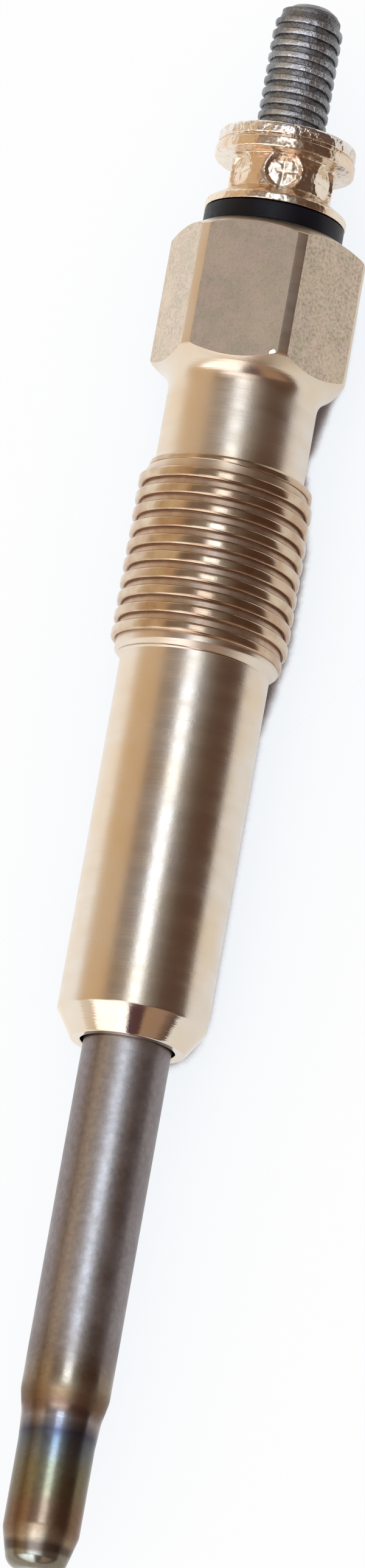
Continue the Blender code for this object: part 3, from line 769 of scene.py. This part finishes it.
def thread_ridge(name, low, high, crest_radius, pitch, section, ends, material):
    """One right-hand thread between two stations, as a plain mesh. Its section is given as its
    depth and the width of its crest, and its ends as the turns over which it runs out, how far it
    sinks there and the share of its section that is left."""
    depth, crest = section
    run_out, drop, share = ends
    height = depth + RIDGE_SINK
    values = {
        "Root Radius": crest_radius - height,
        "Depth": height,
        "Root Width": crest + 2 * height * math.tan(FLANK_ANGLE),
        "Crest Width": crest,
        "Crest Rounding": pitch * CREST_ROUNDING,
        "Turns": (high - low) / pitch,
        "Length": high - low,
        "Run-out Turns": run_out,
        "Run-out Drop": drop,
        "Run-out Share": share,
        "Steps per Turn": sizes().thread_steps,
        "Place": (0.0, TIP_Y + low, AXIS_HEIGHT),
        "Lay Down": -math.pi / 2,
        "Material": material,
    }
    tree = bpy.data.node_groups.get("thread ridge") or make_thread_tree()
    piece = add_object(name, bpy.data.meshes.new(name))
    modifier = piece.modifiers.new("thread", "NODES")
    modifier.node_group = tree
    for item in tree.interface.items_tree:
        if item.in_out == "INPUT" and item.name in values:
            modifier[item.identifier] = values[item.name]
    bake_modifiers(piece)
    shape = bmesh.new()
    shape.from_mesh(piece.data)
    bmesh.ops.remove_doubles(shape, verts=shape.verts, dist=SAME_PLACE)
    bmesh.ops.recalc_face_normals(shape, faces=shape.faces)
    shape.to_mesh(piece.data)
    shape.free()
    piece.data.set_sharp_from_angle(angle=SHARP_ANGLE)
    return piece


# Pieces


def shell_profile():
    """The shell's section, with the root of its thread as a plain step."""
    mouth = TUBE_RADIUS + MOUTH_GAP
    seat = TUBE_RADIUS + SEAT_CLEARANCE
    passing = STUD_RADIUS + PASSING_GAP
    headroom = TUBE_TOP + TUBE_HEADROOM
    root = THREAD_RADIUS - sizes().shell_thread_depth
    step = root - STEM_RADIUS
    thread_end = THREAD_TOP - THREAD_TOP_DROP
    return [
        (mouth, SHELL_BOTTOM, 0.12),
        (mouth, SHELL_BOTTOM + MOUTH_DEPTH, 0.0),
        (seat, SHELL_BOTTOM + MOUTH_DEPTH, 0.0),
        (seat, headroom, 0.0),
        (passing, headroom, 0.0),
        (passing, COUNTERBORE_FLOOR, 0.0),
        (COUNTERBORE, COUNTERBORE_FLOOR, 0.0),
        (COUNTERBORE, HEX_TOP, 0.08),
        (WASHER_RADIUS + HEX_LAND_MARGIN, HEX_TOP, 0.12),
        (HEX_CORNER_RADIUS, HEX_TOP - HEX_UPPER_CONE_LENGTH, 0.18),
        (HEX_CORNER_RADIUS, HEX_BOTTOM + HEX_LOWER_CONE_LENGTH, 0.25),
        (STEM_RADIUS, HEX_BOTTOM, 1.5),
        (STEM_RADIUS, thread_end, 0.10),
        (root, thread_end - step, 0.05),
        (root, THREAD_BOTTOM + step, 0.05),
        (STEM_RADIUS, THREAD_BOTTOM, 0.10),
        (STEM_RADIUS, STEM_BOTTOM, 0.25),
        (mouth + END_FACE_WIDTH, SHELL_BOTTOM, 0.15),
    ]


def mill_flats(piece):
    """Cuts the six flats and bevels their edges. Each block mills one flat."""
    depth = HEX_CORNER_RADIUS - HEX_FLAT_RADIUS + MM
    size = Matrix.Diagonal((2 * HEX_CORNER_RADIUS, HEX_LENGTH + 2 * MM, depth, 1.0))
    middle = Matrix.Translation((0.0, (HEX_BOTTOM + HEX_TOP) / 2, HEX_FLAT_RADIUS + depth / 2))
    to_axis = Matrix.Translation((0.0, TIP_Y, AXIS_HEIGHT))
    blocks = []
    for flat in range(6):
        turn = Matrix.Rotation(math.tau * flat / 6, 4, "Y")
        shape = bmesh.new()
        bmesh.ops.create_cube(shape, size=1.0, matrix=to_axis @ turn @ middle @ size)
        block = to_piece(shape, f"mill_{flat + 1}")
        blocks.append(block)
        cut = piece.modifiers.new("mill", "BOOLEAN")
        cut.solver = "EXACT"
        cut.object = block
    bake_modifiers(piece)
    for block in blocks:
        bpy.data.objects.remove(block, do_unlink=True)
    mark_milled_edges(piece)
    bevel = piece.modifiers.new("edges", "BEVEL")
    bevel.width = sizes().hexagon_edge
    bevel.segments = 3
    bevel.limit_method = "WEIGHT"
    bake_modifiers(piece)


def mark_milled_edges(piece):
    """Gives the edges of the hexagon a bevel weight."""
    shape = bmesh.new()
    shape.from_mesh(piece.data)
    weight = shape.edges.layers.float.new("bevel_weight_edge")
    for edge in shape.edges:
        middle = (edge.verts[0].co + edge.verts[1].co) / 2
        radius = math.hypot(middle.x, middle.z - AXIS_HEIGHT)
        on_hexagon = middle.y - TIP_Y > HEX_BOTTOM and radius > HEX_FLAT_RADIUS - 0.01 * MM
        if on_hexagon and edge.is_manifold and edge.calc_face_angle() > MILLED_EDGE_ANGLE:
            edge[weight] = 1.0
    shape.to_mesh(piece.data)
    shape.free()


def weigh_normals(piece):
    """Keeps the flats flat where smooth shading meets them."""
    piece.data.shade_smooth()
    piece.data.set_sharp_from_angle(angle=SHARP_ANGLE)
    weigh = piece.modifiers.new("normals", "WEIGHTED_NORMAL")
    weigh.weight = NORMAL_WEIGHT
    weigh.keep_sharp = True
    bake_modifiers(piece)


def mark_flats(piece, slot):
    """Gives the milled faces the material slot for flats."""
    enough = math.cos(FLAT_TOLERANCE)
    for face in piece.data.polygons:
        station = face.center.y - TIP_Y
        if not HEX_BOTTOM < station < HEX_TOP:
            continue
        for flat in range(6):
            angle = math.tau * flat / 6
            outward = Vector((math.sin(angle), 0.0, math.cos(angle)))
            if face.normal.dot(outward) > enough:
                face.material_index = slot


class GLOW_PLUG_OT_shell(bpy.types.Operator):
    """Turned and milled shell with its seat cone, stems and hexagon"""

    bl_idname = "glow_plug.shell"
    bl_label = "Shell"

    def execute(self, context):
        piece = to_piece(lathe(rounded(shell_profile(), True), True), "shell_body")
        mill_flats(piece)
        weigh_normals(piece)
        plating = plated_steel("shell_plating", finish().plating, finish().plating_warm, [
            (STEM_BOTTOM - 0.1 * MM, 0.10),
            (STEM_BOTTOM + 0.1 * MM, 0.25),
            (THREAD_TOP, 0.30),
            (THREAD_TOP + 1.0 * MM, 0.32),
            (HEX_BOTTOM - 1.0 * MM, 0.32),
            (HEX_BOTTOM, 0.20),
            (HEX_BOTTOM + 1.2 * MM, 0.38),
            (HEX_TOP - 1.0 * MM, 0.38),
            (HEX_TOP, 0.28),
        ])
        root = THREAD_RADIUS - sizes().shell_thread_depth
        # Painted shade in the grooves at the root of the shell's thread
        darken_grooves(plating, root, THREAD_RADIUS, THREAD_DIRT, 0.75, DIRT_ENDS)
        piece.data.materials.clear()
        piece.data.materials.append(plating)
        piece.data.materials.append(milled_flats())
        mark_flats(piece, 1)
        keep(piece, "shell", "shell")
        return {"FINISHED"}


class GLOW_PLUG_OT_shell_thread(bpy.types.Operator):
    """The shell's thread, a helical ridge on its root"""

    bl_idname = "glow_plug.shell_thread"
    bl_label = "Shell thread"

    def execute(self, context):
        pitch = sizes().shell_pitch
        section = (sizes().shell_thread_depth, sizes().shell_thread_crest)
        root = THREAD_RADIUS - section[0]
        smooth = [(THREAD_BOTTOM, 0.17), (THREAD_TOP, 0.17)]
        plating = plated_steel("thread_plating", (0.68, 0.565, 0.42), (0.50, 0.34, 0.225), smooth, 700.0)
        # Painted shade down the thread's flanks into its grooves
        darken_grooves(plating, root + 0.10 * MM, THREAD_RADIUS, THREAD_DIRT, 1.0, DIRT_ENDS)
        low = THREAD_BOTTOM - 0.16 * pitch
        high = low + THREAD_TURNS * pitch
        ends = (1.25, 0.42 * MM, 0.05)
        piece = thread_ridge("shell_thread", low, high, THREAD_RADIUS, pitch, section, ends, plating)
        keep(piece, "shell")
        return {"FINISHED"}


def tube_end(radius, bottom, bevel, round_radius):
    """Points of the tube's end, from its full radius down: a slight bevel and then a round."""
    lean = TIP_BEVEL_LEAN
    foot = bevel - round_radius * (1 - math.sin(lean))
    middle = radius - foot * math.tan(lean) - round_radius * math.cos(lean)
    points = [(radius, bottom + bevel, 1.2)]
    for i in range(TIP_ROUND_POINTS + 1):
        angle = lean + (math.pi / 2 - lean) * i / TIP_ROUND_POINTS
        across = middle + round_radius * math.cos(angle)
        points.append((across, bottom + round_radius * (1 - math.sin(angle)), 0.0))
    return points


class GLOW_PLUG_OT_heater_tube(bpy.types.Operator):
    """Heater tube with its slim closed tip and the colours of heat"""

    bl_idname = "glow_plug.heater_tube"
    bl_label = "Heater tube"

    def execute(self, context):
        tip_bore = TIP_RADIUS - TUBE_WALL
        corners = [(0.0, TUBE_END_WALL, 0.0)]
        corners += reversed(tube_end(tip_bore, TUBE_END_WALL, BORE_BEVEL_HEIGHT, BORE_ROUND_RADIUS))
        corners += [
            (tip_bore, TIP_LENGTH, 0.0),
            (TUBE_BORE, TAPER_TOP, 0.0),
            (TUBE_BORE, TUBE_TOP, 0.1),
            (TUBE_RADIUS, TUBE_TOP, 0.1),
            (TUBE_RADIUS, TAPER_TOP, 2.5),
            (TAPER_KNEE_RADIUS, TAPER_KNEE, 2.5),
            (TIP_RADIUS, TIP_LENGTH - TAPER_EASE, 4.0),
        ]
        corners += tube_end(TIP_RADIUS, 0.0, TIP_BEVEL_HEIGHT, TIP_ROUND_RADIUS)
        corners.append((0.0, 0.0, 0.0))
        piece = turned_piece("heater_tube", corners, False, heated_tube())
        keep(piece, "glow_tube", "glow_tube")
        return {"FINISHED"}


class GLOW_PLUG_OT_washer(bpy.types.Operator):
    """Black insulating washer with its spigot"""

    bl_idname = "glow_plug.washer"
    bl_label = "Insulating washer"

    def execute(self, context):
        low = HEX_TOP + SEAT_CLEARANCE
        corners = [
            (STUD_HOLE, SPIGOT_BOTTOM, 0.05),
            (STUD_HOLE, WASHER_TOP, 0.05),
            (WASHER_RADIUS, WASHER_TOP, 0.08),
            (WASHER_RADIUS, low, 0.08),
            (SPIGOT_RADIUS, low, 0.0),
            (SPIGOT_RADIUS, SPIGOT_BOTTOM, 0.05),
        ]
        plastic = moulded_plastic("washer_plastic", finish().washer, 0.42)
        piece = turned_piece("washer", corners, True, plastic)
        keep(piece, "insulating_washer", "insulating_washer")
        return {"FINISHED"}


def rows_between(low, high, spacing):
    """Stations from low to high, no further apart than the spacing."""
    count = max(1, math.ceil(abs(high - low) / spacing))
    return [low + (high - low) * i / count for i in range(count + 1)]


def dent_depth(turn, along):
    """How far the round end of a crimping punch presses in at this place from a dent's middle.
    Its floor is flat, with a faint cross, and a low bead stands round it."""
    radius = sizes().crimp_radius
    across = NECK_RADIUS * math.sin(turn)
    distance = math.hypot(across, along) / radius
    if distance > DENT_END:
        return 0.0
    bead = BEAD_HEIGHT * math.exp(-(((distance - BEAD_MIDDLE) / BEAD_WIDTH) ** 2))
    floor = NECK_RADIUS - (NECK_RADIUS - sizes().crimp_depth) / math.cos(turn)
    arm = min(abs(across), abs(along)) / (ARM_WIDTH * radius)
    cross = CROSS_HEIGHT * math.exp(-(arm**2)) * max(0.0, 1 - distance**2)
    crown = CROWN_HEIGHT * max(0.0, 1 - distance**2)
    wall = min(1.0, max(0.0, (WALL_OUTSIDE - distance) / WALL_WIDTH))
    wall = wall * wall * (3 - 2 * wall)
    return wall * max(0.0, floor - crown + cross) - bead


def press_crimps(shape):
    """Presses the dents into the collar's neck."""
    middle = (NECK_BOTTOM + FLANGE_BOTTOM) / 2
    for vertex in shape.verts:
        rise = vertex.co.z - AXIS_HEIGHT
        radius = math.hypot(vertex.co.x, rise)
        along = vertex.co.y - TIP_Y - middle
        if radius < STUD_HOLE + 0.3 * MM or abs(along) > CRIMP_REACH:
            continue
        angle = math.atan2(vertex.co.x, rise)
        for dent in range(CRIMP_COUNT):
            turn = angle - CRIMP_TURN - math.tau * dent / CRIMP_COUNT
            turn = (turn + math.pi) % math.tau - math.pi
            if abs(turn) > CRIMP_SPREAD:
                continue
            press = dent_depth(turn, along)
            share = max(0.0, 1 - max(0.0, radius - NECK_RADIUS) / CRIMP_FADE)
            scale = 1 - press * share / radius
            vertex.co.x *= scale
            vertex.co.z = AXIS_HEIGHT + rise * scale
            break


class GLOW_PLUG_OT_collar(bpy.types.Operator):
    """Flanged contact collar with its crimp dents"""

    bl_idname = "glow_plug.collar"
    bl_label = "Contact collar"

    def execute(self, context):
        groove = FLANGE_TOP - FLANGE_GROOVE_DROP
        corners = [
            (STUD_HOLE, COLLAR_BOTTOM, 0.05),
            (STUD_HOLE, FLANGE_TOP, 0.12),
            (FLANGE_DISC_RADIUS, FLANGE_TOP, 0.26),
            (FLANGE_DISC_RADIUS, groove + FLANGE_GROOVE_DEPTH, 0.12),
            (FLANGE_DISC_RADIUS - FLANGE_GROOVE_DEPTH, groove, 0.04),
            (FLANGE_RADIUS, groove - FLANGE_GROOVE_DEPTH, 0.10),
            (FLANGE_RADIUS, FLANGE_BOTTOM, 0.14),
            (NECK_RADIUS, FLANGE_BOTTOM, 0.14),
            (NECK_RADIUS, NECK_BOTTOM, 0.16),
            (RIM_RADIUS, RIM_TOP, 0.25),
            (RIM_RADIUS, COLLAR_BOTTOM, 0.08),
        ]
        profile = []
        points = rounded(corners, True)
        for point, after in zip(points, points[1:] + points[:1]):
            profile.append(point)
            if all(abs(end.x - NECK_RADIUS) < 0.01 * MM for end in (point, after)):
                rows = rows_between(point.y, after.y, NECK_ROW_HEIGHT)[1:-1]
                profile += [Vector((NECK_RADIUS, station)) for station in rows]
        shape = lathe(profile, True, COLLAR_STEPS)
        press_crimps(shape)
        piece = to_piece(shape, "collar")
        piece.data.materials.append(collar_plating())
        keep(piece, "contact_collar", "contact_collar")
        return {"FINISHED"}


class GLOW_PLUG_OT_terminal_pin(bpy.types.Operator):
    """Terminal pin with its stud at the root of the thread"""

    bl_idname = "glow_plug.terminal_pin"
    bl_label = "Terminal pin"

    def execute(self, context):
        root = STUD_RADIUS - sizes().stud_thread_depth
        top = STUD_TOP
        corners = [
            (0.0, top, 0.0),
            (STUD_NOSE_RADIUS, top, 0.15),
            (STUD_SHOULDER_RADIUS, top - STUD_SHOULDER_DROP, 0.4),
            (root, top - STUD_NOSE_LENGTH, 0.3),
            (root, STUD_BOTTOM + 0.3 * MM, 0.0),
            (SHANK_RADIUS, STUD_BOTTOM, 0.0),
            (SHANK_RADIUS, SHANK_BOTTOM, 0.05),
            (ROD_RADIUS, SHANK_BOTTOM, 0.05),
            (ROD_RADIUS, ROD_BOTTOM, 0.05),
            (NOSE_RADIUS, ROD_BOTTOM, 0.0),
            (NOSE_RADIUS, NOSE_BOTTOM, 0.05),
            (0.0, NOSE_BOTTOM, 0.0),
        ]
        steel = dark_steel("stud_steel", finish().stud)
        # Painted shade in the grooves of the stud's thread
        darken_grooves(steel, root, STUD_RADIUS, STUD_DIRT, 0.8, (STUD_BOTTOM, STUD_TOP))
        piece = turned_piece("pin_body", corners, False, steel)
        keep(piece, "terminal_pin", "terminal_pin")
        return {"FINISHED"}


class GLOW_PLUG_OT_stud_thread(bpy.types.Operator):
    """The stud's thread, a helical ridge on its root"""

    bl_idname = "glow_plug.stud_thread"
    bl_label = "Stud thread"

    def execute(self, context):
        pitch = sizes().stud_pitch
        steel = bpy.data.materials["stud_steel"]
        low = STUD_BOTTOM + 0.5 * pitch
        high = STUD_TOP - 0.24 * MM
        section = (sizes().stud_thread_depth, sizes().stud_thread_crest)
        ends = (1.3, 0.33 * MM, 0.7)
        piece = thread_ridge("stud_thread", low, high, STUD_RADIUS, pitch, section, ends, steel)
        keep(piece, "terminal_pin")
        return {"FINISHED"}


class GLOW_PLUG_OT_inner_pieces(bpy.types.Operator):
    """Finishes of the coils, powder and seals inside the plug"""

    bl_idname = "glow_plug.inner_pieces"
    bl_label = "Inner pieces"

    def execute(self, context):
        finishes = {
            "heating_coil": dark_steel("heating_wire", (0.34, 0.31, 0.29)),
            "regulating_coil": dark_steel("regulating_wire", (0.52, 0.49, 0.46)),
            "filling_powder": moulded_plastic("pressed_powder", (0.78, 0.76, 0.72), 0.9),
            "tube_seal": moulded_plastic("tube_seal_rubber", (0.20, 0.05, 0.035), 0.6),
            "body_seal": moulded_plastic("body_seal_rubber", (0.02, 0.02, 0.02), 0.55),
        }
        for name, material in finishes.items():
            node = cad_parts[name]
            node.data.materials.clear()
            node.data.materials.append(material)
        return {"FINISHED"}


# Stage


CAMERA_DISTANCE = 0.82
CAMERA_TURN = math.radians(12.0)  # from straight above towards +X
CAMERA_TILT = math.radians(14.5)  # from straight above towards the heater tip
CAMERA_ROLL = math.radians(10.1)  # how far the plug leans to the right in the picture
PICTURE_HEIGHT = 87.8 * MM  # how much of the plug's surroundings the picture's height shows
AIM_STATION = 45.7 * MM
AIM_ASIDE = 0.46 * MM
SENSOR = 36.0
STRIP_COLOUR = (0.76, 0.90, 1.08)
STRIP_TURN = math.radians(8.0)
STRIP_TILT = math.radians(15.0)
STRIP_WIDTH = 0.40  # across the plug
STRIP_LENGTH = 0.50
STRIP_DISTANCE = 1.2
FLOOR_SIZE = 6.0
SHADE_REACH = 20.0 * MM  # how far off the plug still shades the floor
CONTACT_REACH = 2.8 * MM  # how close the plug makes the floor dark
DARK_CORNER = (0.115, 0.066, 0.046)  # what the metal shows of the room's far right


def direction(turn, tilt):
    """Away from the plug. Turn goes from straight above towards +X, and tilt towards the terminal."""
    across = math.cos(tilt)
    return Vector((across * math.sin(turn), math.sin(tilt), across * math.cos(turn)))


def square_to(outward):
    """Two directions square to this one: across the plug, and as near along it as can be."""
    along = Vector((0.0, 1.0, 0.0))
    along = (along - outward * along.dot(outward)).normalized()
    return along.cross(outward), along


def place_by_axes(thing, place, axes):
    """Puts a camera or light at this place, with its own axes along these directions."""
    thing.matrix_world = Matrix.Translation(place) @ Matrix(axes).transposed().to_4x4()


def add_camera():
    """The photograph's view: nearly straight down, turned to the right and towards the tip."""
    back = direction(CAMERA_TURN, -CAMERA_TILT)
    aside, along = square_to(back)
    up = along * math.cos(CAMERA_ROLL) - aside * math.sin(CAMERA_ROLL)
    right = aside * math.cos(CAMERA_ROLL) + along * math.sin(CAMERA_ROLL)
    aim = Vector((0.0, TIP_Y + AIM_STATION, AXIS_HEIGHT)) + aside * AIM_ASIDE
    data = bpy.data.cameras.new("camera")
    data.sensor_width = SENSOR
    data.lens = SENSOR * CAMERA_DISTANCE / PICTURE_HEIGHT
    data.clip_start = 0.01
    data.clip_end = 50.0
    camera = add_object("camera", data)
    place_by_axes(camera, aim + back * CAMERA_DISTANCE, (right, up, back))
    bpy.context.scene.camera = camera


def add_strip_light():
    """A flat soft light that faces the plug from above."""
    outward = direction(STRIP_TURN, STRIP_TILT)
    data = bpy.data.lights.new("strip_light", "AREA")
    data.shape = "RECTANGLE"
    data.size = STRIP_WIDTH
    data.size_y = STRIP_LENGTH
    data.energy = finish().strip_power * math.pi * STRIP_WIDTH * STRIP_LENGTH
    data.color = STRIP_COLOUR
    light = add_object("strip_light", data)
    light.visible_camera = False
    place = Vector((0.0, 0.0, AXIS_HEIGHT)) + outward * STRIP_DISTANCE
    place_by_axes(light, place, (*square_to(outward), outward))


def seen_directly(tree):
    """1 for rays that show the stage itself or its reflection, and 0 for its light."""
    rays = tree.nodes.new("ShaderNodeLightPath").outputs
    seen = math_node(tree, "MAXIMUM", rays["Is Camera Ray"], rays["Is Glossy Ray"])
    return math_node(tree, "MAXIMUM", seen, rays["Is Transmission Ray"])


def openness(tree, reach, toward_light, samples):
    """1 where the floor is open towards the light, down to 0 where the plug is close over it."""
    inputs = {"Distance": reach, "Normal": Vector(toward_light).normalized()}
    return add_node(tree, "ShaderNodeAmbientOcclusion", inputs, samples=samples).outputs["AO"]


def add_floor():
    """Pale floor that stays white, with the plug's shadow to the right and dark close under it."""
    shape = bmesh.new()
    bmesh.ops.create_grid(shape, x_segments=1, y_segments=1, size=FLOOR_SIZE / 2)
    floor = to_piece(shape, "floor")
    material, tree, shader = new_material("floor_white", 1.0, 0.0)
    shader.inputs["Base Color"].default_value = (0.88, 0.90, 0.93, 1.0)
    shader.inputs["Specular IOR Level"].default_value = 0.0
    white = colour_ramp(tree, openness(tree, SHADE_REACH, (-0.55, -0.1, 0.83), 12), [
        (0.0, (0.80, 0.85, 0.92)),
        (0.35, (0.88, 0.915, 0.955)),
        (0.65, (0.955, 0.97, 0.99)),
        (0.88, (1.0, 1.0, 1.0)),
    ])
    dark = colour_ramp(tree, openness(tree, CONTACT_REACH, (-0.50, 0.30, 0.81), 32), [
        (0.50, (0.10, 0.075, 0.07)),
        (0.56, (0.30, 0.23, 0.21)),
        (0.60, (1.0, 1.0, 1.0)),
    ])
    seen = mix_colours(tree, 1.0, white, dark, "MULTIPLY")
    # The metal mirrors a floor that is brighter on the left and dark far to the right
    _, parts = object_place(tree)
    left = map_range(tree, parts["X"], -5.0 * MM, 5.0 * MM, 1.13, 0.96)
    far_right = map_range(tree, parts["X"], 45.0 * MM, 85.0 * MM)
    mirrored = mix_colours(tree, 1.0, seen, left, "MULTIPLY")
    mirrored = mix_colours(tree, far_right, mirrored, DARK_CORNER)
    rays = tree.nodes.new("ShaderNodeLightPath").outputs
    seen = mix_colours(tree, rays["Is Glossy Ray"], seen, mirrored)
    glow = output_of(tree, "ShaderNodeEmission", {"Color": seen, "Strength": 1.0})
    factor = times(tree, seen_directly(tree), 0.97)
    blend = output_of(tree, "ShaderNodeMixShader", {0: factor, 1: shader.outputs[0], 2: glow})
    tree.links.new(blend, tree.nodes["Material Output"].inputs["Surface"])
    floor.data.materials.append(material)


def room_colour(tree, angle, stops):
    """Colours by the angle round the plug's axis, in degrees from straight above towards +X."""
    share = map_range(tree, angle, -math.pi / 2, math.pi / 2)
    return colour_ramp(tree, share, [((degrees + 90) / 180, colour) for degrees, colour in stops])


def add_world():
    """A soft room as bands round the plug's axis: warm and pale to the left, grey above and dark
    to the right. Beyond the heater tip it has a broad bright window. The camera sees white."""
    world = bpy.data.worlds.new("room")
    world.use_nodes = True
    tree = world.node_tree
    tree.nodes.clear()
    place = tree.nodes.new("ShaderNodeTexCoord").outputs["Generated"]
    parts = add_node(tree, "ShaderNodeSeparateXYZ", {0: place}).outputs
    angle = math_node(tree, "ARCTAN2", parts["X"], parts["Z"])
    power = finish().window_power
    window = (0.9 * power, 0.9 * power, 0.95 * power)
    left_wall = [(-88, (0.90, 0.82, 0.74)), (-76, (0.74, 0.57, 0.38)), (-42, (0.72, 0.54, 0.36))]
    overhead = room_colour(tree, angle, [
        *left_wall,
        (-32, (0.285, 0.23, 0.19)),
        (-6, (0.315, 0.27, 0.24)),
        (20, (0.36, 0.34, 0.32)),
        (36, (0.20, 0.17, 0.145)),
        (48, (0.115, 0.072, 0.052)),
        (86, DARK_CORNER),
        (90, (0.15, 0.09, 0.07)),
    ])
    below_strip = room_colour(tree, angle, [
        *left_wall,
        (-32, (0.46, 0.34, 0.26)),
        (-14, window),
        (10, window),
        (32, (0.14, 0.085, 0.07)),
        (90, (0.15, 0.09, 0.07)),
    ])
    beyond_tip = room_colour(tree, angle, [
        (-88, (0.90, 0.84, 0.76)),
        (-70, (0.80, 0.70, 0.58)),
        (-63, window),
        (-1, window),
        (4, (0.12, 0.06, 0.07)),
        (31, (0.11, 0.055, 0.06)),
        (38, (0.42, 0.285, 0.205)),
        (72, (0.38, 0.255, 0.18)),
        (80, (0.24, 0.16, 0.12)),
        (90, (0.17, 0.11, 0.085)),
    ])
    room = overhead
    parting = ((0.05, -0.18, below_strip), (-0.36, -0.39, overhead), (-0.41, -0.46, beyond_tip))
    for start, end, beyond in parting:
        room = mix_colours(tree, map_range(tree, parts["Y"], start, end), room, beyond)
    lit = output_of(tree, "ShaderNodeBackground", {"Color": room, "Strength": 1.0})
    plain = output_of(tree, "ShaderNodeBackground", {"Color": (1.0, 1.0, 1.0, 1.0), "Strength": 1.0})
    direct = tree.nodes.new("ShaderNodeLightPath").outputs["Is Camera Ray"]
    blend = output_of(tree, "ShaderNodeMixShader", {0: direct, 1: lit, 2: plain})
    end = add_node(tree, "ShaderNodeOutputWorld", {"Surface": blend})
    end.is_active_output = True
    bpy.context.scene.world = world


class GLOW_PLUG_OT_stage(bpy.types.Operator):
    """Floor, room, strip light and the photograph's camera"""

    bl_idname = "glow_plug.stage"
    bl_label = "Stage"

    def execute(self, context):
        context.scene.view_settings.view_transform = "Standard"
        add_floor()
        add_world()
        add_strip_light()
        add_camera()
        return {"FINISHED"}


class GLOW_PLUG_PT_panel(bpy.types.Panel):
    """Settings and pieces in the 3D view's sidebar"""

    bl_label = "Glow plug"
    bl_idname = "GLOW_PLUG_PT_panel"
    bl_space_type = "VIEW_3D"
    bl_region_type = "UI"
    bl_category = "Glow plug"

    def draw(self, context):
        for group in (context.scene.glow_plug_sizes, context.scene.glow_plug_finish):
            box = self.layout.box()
            for name in group.bl_rna.properties.keys():
                if name not in {"rna_type", "name"}:
                    box.prop(group, name)
        for operator in OPERATORS:
            self.layout.operator(operator.bl_idname)


OPERATORS = (
    GLOW_PLUG_OT_shell,
    GLOW_PLUG_OT_shell_thread,
    GLOW_PLUG_OT_heater_tube,
    GLOW_PLUG_OT_washer,
    GLOW_PLUG_OT_collar,
    GLOW_PLUG_OT_terminal_pin,
    GLOW_PLUG_OT_stud_thread,
    GLOW_PLUG_OT_inner_pieces,
    GLOW_PLUG_OT_stage,
)
CLASSES = (GlowPlugSizes, GlowPlugFinish, *OPERATORS, GLOW_PLUG_PT_panel)


def register():
    for item in CLASSES:
        bpy.utils.register_class(item)
    bpy.types.Scene.glow_plug_sizes = PointerProperty(type=GlowPlugSizes)
    bpy.types.Scene.glow_plug_finish = PointerProperty(type=GlowPlugFinish)


def unregister():
    del bpy.types.Scene.glow_plug_sizes
    del bpy.types.Scene.glow_plug_finish
    for item in reversed(CLASSES):
        bpy.utils.unregister_class(item)


def main():
    register()
    make_turning_marks()
    make_fine_grain()
    make_groove_depth()
    for operator in OPERATORS:
        getattr(bpy.ops.glow_plug, operator.bl_idname.split(".")[1])()


if __name__ == "__main__":
    main()
